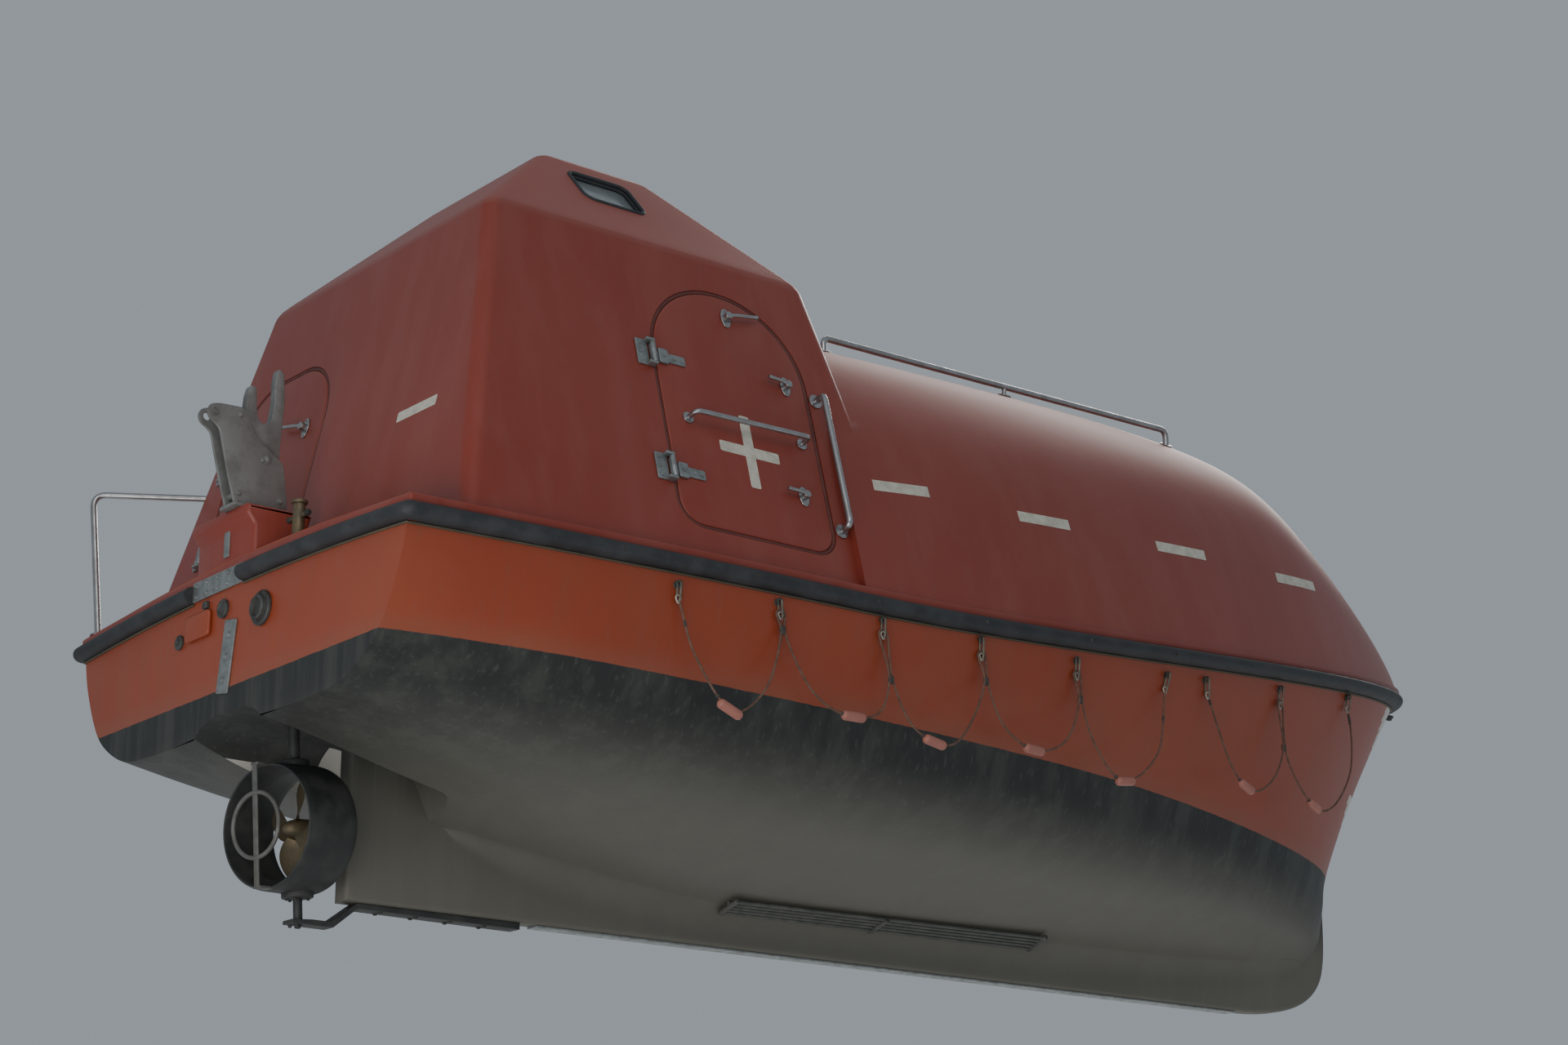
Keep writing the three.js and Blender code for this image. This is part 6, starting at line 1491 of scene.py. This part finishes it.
def ramp(tree, value, low, high):
    """Takes a value from low..high to 0..1, smoothly."""
    node = tree.nodes.new("ShaderNodeMapRange")
    node.interpolation_type = "SMOOTHSTEP"
    tree.links.new(value, node.inputs["Value"])
    for label, number in (("From Min", low), ("From Max", high)):
        if isinstance(number, (int, float)):
            node.inputs[label].default_value = number
        else:
            tree.links.new(number, node.inputs[label])
    return node.outputs["Result"]


def noise(tree, vector, scale, detail=4.0, rough=0.55, stretch=None):
    """Noise on object coordinates, which may be stretched along an axis."""
    if stretch is not None:
        mapping = tree.nodes.new("ShaderNodeMapping")
        mapping.inputs["Scale"].default_value = stretch
        tree.links.new(vector, mapping.inputs["Vector"])
        vector = mapping.outputs[0]
    node = tree.nodes.new("ShaderNodeTexNoise")
    node.inputs["Detail"].default_value = detail
    node.inputs["Roughness"].default_value = rough
    tree.links.new(vector, node.inputs["Vector"])
    if isinstance(scale, (int, float)):
        node.inputs["Scale"].default_value = scale
    else:
        tree.links.new(scale, node.inputs["Scale"])
    return node.outputs["Fac"]


def blended(tree, factor, a, b):
    """Colour a, towards b by the factor."""
    node = tree.nodes.new("ShaderNodeMix")
    node.data_type = "RGBA"
    node.blend_type = "MIX"
    for socket, value in ((node.inputs[0], factor), (node.inputs[6], a), (node.inputs[7], b)):
        if isinstance(value, (int, float)):
            socket.default_value = value
        elif isinstance(value, tuple):
            socket.default_value = (*value, 1.0)
        else:
            tree.links.new(value, socket)
    return node.outputs[2]


def make_groups():
    """The effects that several materials share: patches, runs down the side, specks and grain."""
    groups = {}
    tree, start, end = group("weather_patches", [("Vector", VECTOR, None), ("Scale", FLOAT, 1.5)],
                             [("Patches", FLOAT), ("Specks", FLOAT)])
    broad = noise(tree, start.outputs["Vector"], start.outputs["Scale"], 6.0, 0.6)
    tree.links.new(ramp(tree, broad, 0.36, 0.66), end.inputs["Patches"])
    fine = noise(tree, start.outputs["Vector"], 140.0, 2.0, 0.5)
    tree.links.new(ramp(tree, fine, 0.66, 0.76), end.inputs["Specks"])
    groups["patches"] = tree

    tree, start, end = group("side_runs", [("Vector", VECTOR, None), ("Scale", FLOAT, 9.0)],
                             [("Wide", FLOAT), ("Thin", FLOAT)])
    wide = noise(tree, start.outputs["Vector"], start.outputs["Scale"], 5.0, 0.6, (1.0, 1.0, 0.09))
    tree.links.new(ramp(tree, wide, 0.42, 0.66), end.inputs["Wide"])
    thin = noise(tree, start.outputs["Vector"], 46.0, 3.0, 0.5, (1.0, 1.0, 0.035))
    tree.links.new(ramp(tree, thin, 0.56, 0.72), end.inputs["Thin"])
    groups["runs"] = tree

    tree, start, end = group("surface_grain", [("Vector", VECTOR, None), ("Scale", FLOAT, 60.0)],
                             [("Height", FLOAT)])
    coarse = noise(tree, start.outputs["Vector"], start.outputs["Scale"], 5.0, 0.6)
    tree.links.new(coarse, end.inputs["Height"])
    groups["grain"] = tree
    return groups


GROUPS = make_groups()


class Material:
    """A material under way: its tree, its shader and its object coordinates."""

    def __init__(self, name, roughness=0.5, metallic=0.0, **sockets):
        self.data = bpy.data.materials.new(name)
        self.data.use_nodes = True
        self.tree = self.data.node_tree
        self.shader = self.tree.nodes["Principled BSDF"]
        self.shader.inputs["Roughness"].default_value = roughness
        self.shader.inputs["Metallic"].default_value = metallic
        for label, value in sockets.items():
            self.shader.inputs[label.replace("_", " ")].default_value = value
        self.where = self.tree.nodes.new("ShaderNodeTexCoord").outputs["Object"]

    def use(self, kind, **values):
        node = self.tree.nodes.new("ShaderNodeGroup")
        node.node_tree = GROUPS[kind]
        self.tree.links.new(self.where, node.inputs["Vector"])
        for label, value in values.items():
            node.inputs[label].default_value = value
        return node.outputs

    def set(self, label, value):
        self.tree.links.new(value, self.shader.inputs[label])

    def bump(self, height, distance, strength=1.0):
        node = self.tree.nodes.new("ShaderNodeBump")
        node.inputs["Distance"].default_value = distance
        node.inputs["Strength"].default_value = strength
        self.tree.links.new(height, node.inputs["Height"])
        self.tree.links.new(node.outputs["Normal"], self.shader.inputs["Normal"])

    def split(self):
        node = self.tree.nodes.new("ShaderNodeSeparateXYZ")
        self.tree.links.new(self.where, node.inputs[0])
        return node.outputs

    def facing_up(self):
        node = self.tree.nodes.new("ShaderNodeSeparateXYZ")
        geometry = self.tree.nodes.new("ShaderNodeNewGeometry")
        self.tree.links.new(geometry.outputs["Normal"], node.inputs[0])
        return node.outputs["Z"]


TOPSIDE = (0.290, 0.044, 0.012)
TOPSIDE_FADED = (0.320, 0.066, 0.026)
CANOPY_RED = (0.235, 0.033, 0.018)
# Pale pink for faces that look up: painted sky light with some chalking
CANOPY_SKY_LIT_FADED = (0.400, 0.120, 0.090)
BOTTOM_DARK = (0.016, 0.018, 0.017)
BOTTOM_WASH = (0.050, 0.054, 0.045)
PAINT_LINE_Z, PAINT_DIP, PAINT_DIP_X = 0.150, 0.050, 2.71


def hull_paint():
    """Orange above the painted waterline and dark below it, with runs, fading and dirt; the dark bottom is lightened
    towards the keel as a painted reflection of light from the ground."""
    m = Material("hull_paint", Coat_Weight=0.15, Coat_Roughness=0.25)
    t = m.tree
    x, y, z = m.split()
    ahead = ramp(t, x, 0.0, PAINT_DIP_X)
    edge = noise(t, m.where, 22.0, 3.0, 0.6)
    line = math_node(t, "SUBTRACT", PAINT_LINE_Z, math_node(t, "MULTIPLY", ahead, PAINT_DIP))
    level = math_node(t, "SUBTRACT", z, line)
    level = math_node(t, "ADD", level, math_node(t, "MULTIPLY", math_node(t, "SUBTRACT", edge, 0.5), 0.006))
    above = ramp(t, level, -0.0015, 0.0015)
    patches, runs = m.use("patches", Scale=1.1), m.use("runs", Scale=7.0)
    orange = blended(t, math_node(t, "MULTIPLY", patches["Patches"], 0.55), TOPSIDE, TOPSIDE_FADED)
    orange = blended(t, math_node(t, "MULTIPLY", runs["Wide"], 0.22), orange, (0.240, 0.066, 0.034))
    orange = blended(t, math_node(t, "MULTIPLY", runs["Thin"], 0.18), orange, (0.20, 0.085, 0.055))
    grime = ramp(t, math_node(t, "ABSOLUTE", level), 0.10, 0.0)
    orange = blended(t, math_node(t, "MULTIPLY", grime, 0.25), orange, (0.22, 0.10, 0.06))
    dark = blended(t, math_node(t, "MULTIPLY", runs["Wide"], 0.65), BOTTOM_DARK, BOTTOM_WASH)
    dark = blended(t, math_node(t, "MULTIPLY", runs["Thin"], 0.35), dark, (0.085, 0.09, 0.075))
    # Painted reflection of ground light: the bottom below the dark band is lightened towards the keel
    low = ramp(t, z, 0.05, -0.30)
    dark = blended(t, math_node(t, "MULTIPLY", low, 0.70), dark, (0.165, 0.155, 0.125))
    m.set("Base Color", blended(t, above, dark, orange))
    gloss = math_node(t, "ADD",
                      math_node(t, "MULTIPLY", patches["Patches"], 0.12), 0.36)
    rough = math_node(t, "ADD", math_node(t, "MULTIPLY", above, -0.26), 0.70)
    m.set("Roughness", math_node(t, "MAXIMUM", rough, gloss))
    grain = m.use("grain", Scale=16.0)
    m.bump(grain["Height"], 0.0012, 0.35)
    return m.data


def canopy_paint():
    """Faded brick-red gelcoat, streaked and speckled, made paler where it faces up: painted sky light together with
    some sun-bleached chalking.
    """
    m = Material("canopy_paint", Coat_Weight=0.06, Coat_Roughness=0.35)
    t = m.tree
    patches, runs = m.use("patches", Scale=0.9), m.use("runs", Scale=6.0)
    red = blended(t, math_node(t, "MULTIPLY", patches["Patches"], 0.5), CANOPY_RED, (0.265, 0.047, 0.030))
    # Painted sky light: faces that look up are made paler pink, together with some sun-bleached chalking
    painted_sky_light_and_chalk = math_node(t, "MULTIPLY", ramp(t, m.facing_up(), 0.25, 0.95), 0.75)
    red = blended(t, painted_sky_light_and_chalk, red, CANOPY_SKY_LIT_FADED)
    red = blended(t, math_node(t, "MULTIPLY", runs["Wide"], 0.18), red, (0.30, 0.10, 0.08))
    red = blended(t, math_node(t, "MULTIPLY", runs["Thin"], 0.12), red, (0.16, 0.08, 0.07))
    red = blended(t, math_node(t, "MULTIPLY", patches["Specks"], 0.22), red, (0.10, 0.06, 0.055))
    m.set("Base Color", red)
    rough = math_node(t, "ADD", math_node(t, "MULTIPLY", painted_sky_light_and_chalk, 0.25), 0.42)
    m.set("Roughness", rough)
    grain = m.use("grain", Scale=9.0)
    m.bump(grain["Height"], 0.0022, 0.35)
    return m.data


def plain(name, base, worn, roughness, metallic=0.0, scale=20.0, amount=0.6, bump=0.0006, speck=(0.1, 0.06, 0.03),
          specks=0.0):
    """A finish in two tones with patches, specks and grain."""
    m = Material(name, roughness, metallic)
    t = m.tree
    patches = m.use("patches", Scale=scale)
    colour = blended(t, math_node(t, "MULTIPLY", patches["Patches"], amount), base, worn)
    if specks:
        colour = blended(t, math_node(t, "MULTIPLY", patches["Specks"], specks), colour, speck)
    m.set("Base Color", colour)
    rough = math_node(t, "ADD", math_node(t, "MULTIPLY", patches["Patches"], 0.16), roughness - 0.06)
    m.set("Roughness", rough)
    grain = m.use("grain", Scale=scale * 5)
    m.bump(grain["Height"], bump, 0.5)
    return m.data


def glass():
    m = Material("window_acrylic", 0.12, 0.0, Transmission_Weight=0.75, IOR=1.49)
    t = m.tree
    patches = m.use("patches", Scale=6.0)
    m.set("Base Color", blended(t, patches["Patches"], (0.62, 0.70, 0.72), (0.74, 0.78, 0.78)))
    haze = math_node(t, "ADD", math_node(t, "MULTIPLY", patches["Patches"], 0.18), 0.10)
    m.set("Roughness", haze)
    return m.data


HULL_PAINT = hull_paint()
CANOPY_PAINT = canopy_paint()
LINING = plain("lining", (0.62, 0.60, 0.54), (0.52, 0.49, 0.43), 0.55, scale=2.0)
RUBBER = plain("fender_rubber", (0.022, 0.024, 0.027), (0.060, 0.063, 0.068), 0.62, scale=9.0, amount=0.55,
               bump=0.0010, speck=(0.16, 0.16, 0.15), specks=0.3)
SEAL = plain("door_seal", (0.13, 0.030, 0.022), (0.09, 0.028, 0.022), 0.55, scale=12.0)
GALVANISED = plain("galvanised_steel", (0.33, 0.35, 0.35), (0.20, 0.21, 0.20), 0.48, 0.75, 26.0, 0.7, 0.0004,
                   (0.16, 0.08, 0.035), 0.5)
GALVANISED_DARK = plain("stained_steel", (0.10, 0.105, 0.10), (0.055, 0.05, 0.042), 0.62, 0.55, 24.0, 0.8, 0.0006,
                        (0.17, 0.075, 0.03), 0.6)
HOOK_STEEL = plain("hook_steel", (0.24, 0.245, 0.235), (0.15, 0.145, 0.135), 0.58, 0.45, 12.0, 0.7, 0.0006,
                   (0.13, 0.07, 0.035), 0.4)
STAINLESS = plain("stainless", (0.42, 0.42, 0.42), (0.30, 0.29, 0.27), 0.30, 0.95, 30.0, 0.5, 0.0002,
                  (0.20, 0.12, 0.06), 0.3)
POLISHED = plain("polished_stainless", (0.42, 0.42, 0.43), (0.26, 0.23, 0.20), 0.30, 0.9, 14.0, 0.45, 0.0001,
                 (0.26, 0.17, 0.09), 0.25)
DARK_STEEL = plain("dark_steel", (0.020, 0.022, 0.022), (0.055, 0.055, 0.050), 0.60, 0.0, 10.0, 0.6, 0.0008,
                   (0.12, 0.08, 0.05), 0.3)
COOLER_METAL = plain("cooler_pipes", (0.085, 0.088, 0.080), (0.16, 0.16, 0.14), 0.55, 0.4, 20.0, 0.7)
BRONZE = plain("bronze", (0.17, 0.13, 0.075), (0.10, 0.095, 0.07), 0.50, 0.6, 20.0, 0.7, 0.0003)
TAPE = plain("reflective_tape", (0.62, 0.59, 0.50), (0.45, 0.42, 0.34), 0.45, 0.0, 26.0, 0.7, 0.0004,
             (0.18, 0.14, 0.10), 0.5)
GUARD_STEEL = plain("guard_steel", (0.15, 0.15, 0.14), (0.09, 0.085, 0.075), 0.55, 0.4, 16.0, 0.7, 0.0005,
                    (0.10, 0.06, 0.03), 0.4)
STRIP = plain("fender_strip", (0.075, 0.062, 0.040), (0.11, 0.085, 0.055), 0.7, scale=8.0)
ROPE = plain("grab_line_rope", (0.17, 0.095, 0.065), (0.085, 0.05, 0.04), 0.85, scale=30.0, amount=0.7, bump=0.0008)
FLOAT_PINK = plain("float_pink", (0.42, 0.16, 0.12), (0.34, 0.14, 0.11), 0.5, scale=14.0, amount=0.6,
                   speck=(0.2, 0.1, 0.08), specks=0.3)
LASHING = plain("lashing", (0.045, 0.040, 0.036), (0.10, 0.085, 0.075), 0.85, scale=40.0)
SHACKLE = plain("shackle_steel", (0.20, 0.195, 0.155), (0.11, 0.105, 0.08), 0.5, 0.6, 30.0, 0.7, 0.0003)
THIMBLE = plain("thimble", (0.50, 0.47, 0.40), (0.30, 0.28, 0.24), 0.5, 0.4, 30.0, 0.6, 0.0003)
ENGINE_GREY = plain("engine_grey", (0.16, 0.20, 0.18), (0.10, 0.12, 0.11), 0.5, 0.2, 6.0)
GLASS = glass()
FLOOR = plain("floor", (0.72, 0.73, 0.74), (0.70, 0.71, 0.72), 0.75, scale=0.6, amount=0.4)


# Camera and light

CAMERA_AT = (-8.8783, -10.2217, -2.7741)
CAMERA_YAW, CAMERA_PITCH = math.radians(51.355), math.radians(17.475)
FOCAL_PIXELS, IMAGE_WIDTH, SENSOR = 3750.0, 1920.0, 36.0
FLOOR_Z = CAMERA_AT[2] - 0.06


def make_camera():
    data = bpy.data.cameras.new("camera")
    data.sensor_width = SENSOR
    data.lens = FOCAL_PIXELS / IMAGE_WIDTH * SENSOR
    data.clip_end = 200
    camera = bpy.data.objects.new("camera", data)
    bpy.context.scene.collection.objects.link(camera)
    camera.location = CAMERA_AT
    camera.rotation_euler = (math.pi / 2 + CAMERA_PITCH, 0, CAMERA_YAW - math.pi / 2)
    bpy.context.scene.camera = camera


def area_light(name, at, towards, size, power, colour):
    data = bpy.data.lights.new(name, "AREA")
    data.shape = "RECTANGLE"
    data.size, data.size_y = size
    data.energy = power
    data.color = colour
    light = bpy.data.objects.new(name, data)
    bpy.context.scene.collection.objects.link(light)
    light.location = at
    direction = np.array(towards, float) - np.array(at, float)
    flat = math.hypot(direction[0], direction[1])
    turn = math.atan2(direction[1], direction[0]) - math.pi / 2
    light.rotation_euler = (math.atan2(flat, -direction[2]), 0, turn)


def make_stage():
    half = 60.0
    mesh = bpy.data.meshes.new("floor")
    corners = [(sx * half, sy * half, FLOOR_Z) for sx, sy in ((-1, -1), (1, -1), (1, 1), (-1, 1))]
    mesh.from_pydata(corners, [], [(0, 1, 2, 3)])
    mesh.materials.append(FLOOR)
    floor = bpy.data.objects.new("floor", mesh)
    bpy.context.scene.collection.objects.link(floor)
    world = bpy.data.worlds.new("studio")
    world.use_nodes = True
    world.node_tree.nodes["Background"].inputs["Color"].default_value = (0.72, 0.80, 0.88, 1)
    world.node_tree.nodes["Background"].inputs["Strength"].default_value = 0.42
    bpy.context.scene.world = world
    area_light("key", (-9, -12, 7), (0, 0, 0.6), (9, 7), 380, (1.0, 0.97, 0.93))
    area_light("rim", (9, 7, 9), (0, 0, 1), (8, 6), 1300, (1.0, 0.96, 0.9))
    area_light("under", (-7, -3, -2.6), (-1.0, 0, 0), (6, 4), 260, (1.0, 0.98, 0.95))


make_camera()
make_grab_lines()
make_hull()
make_canopy()
make_doors()
make_windows()
make_hatch()
make_fenders()
make_stern_plate()
make_eyes()
make_nozzle()
make_propeller()
make_sole_piece()
make_keel_shoe()
make_cooler()
make_pedestal()
make_hook("aft", 0.060, 1.460, 1, "aft_hook")
make_hook("fore", 5.700, 1.9003, -1, "fore_hook")
make_mooring_post()
make_transom_fittings()
make_bow_fittings()
make_roof_rail("port", 1)
make_roof_rail("starboard", -1)
make_aft_rail()
make_tapes()
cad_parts["engine_block"].data.materials.clear()
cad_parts["engine_block"].data.materials.append(ENGINE_GREY)
make_stage()
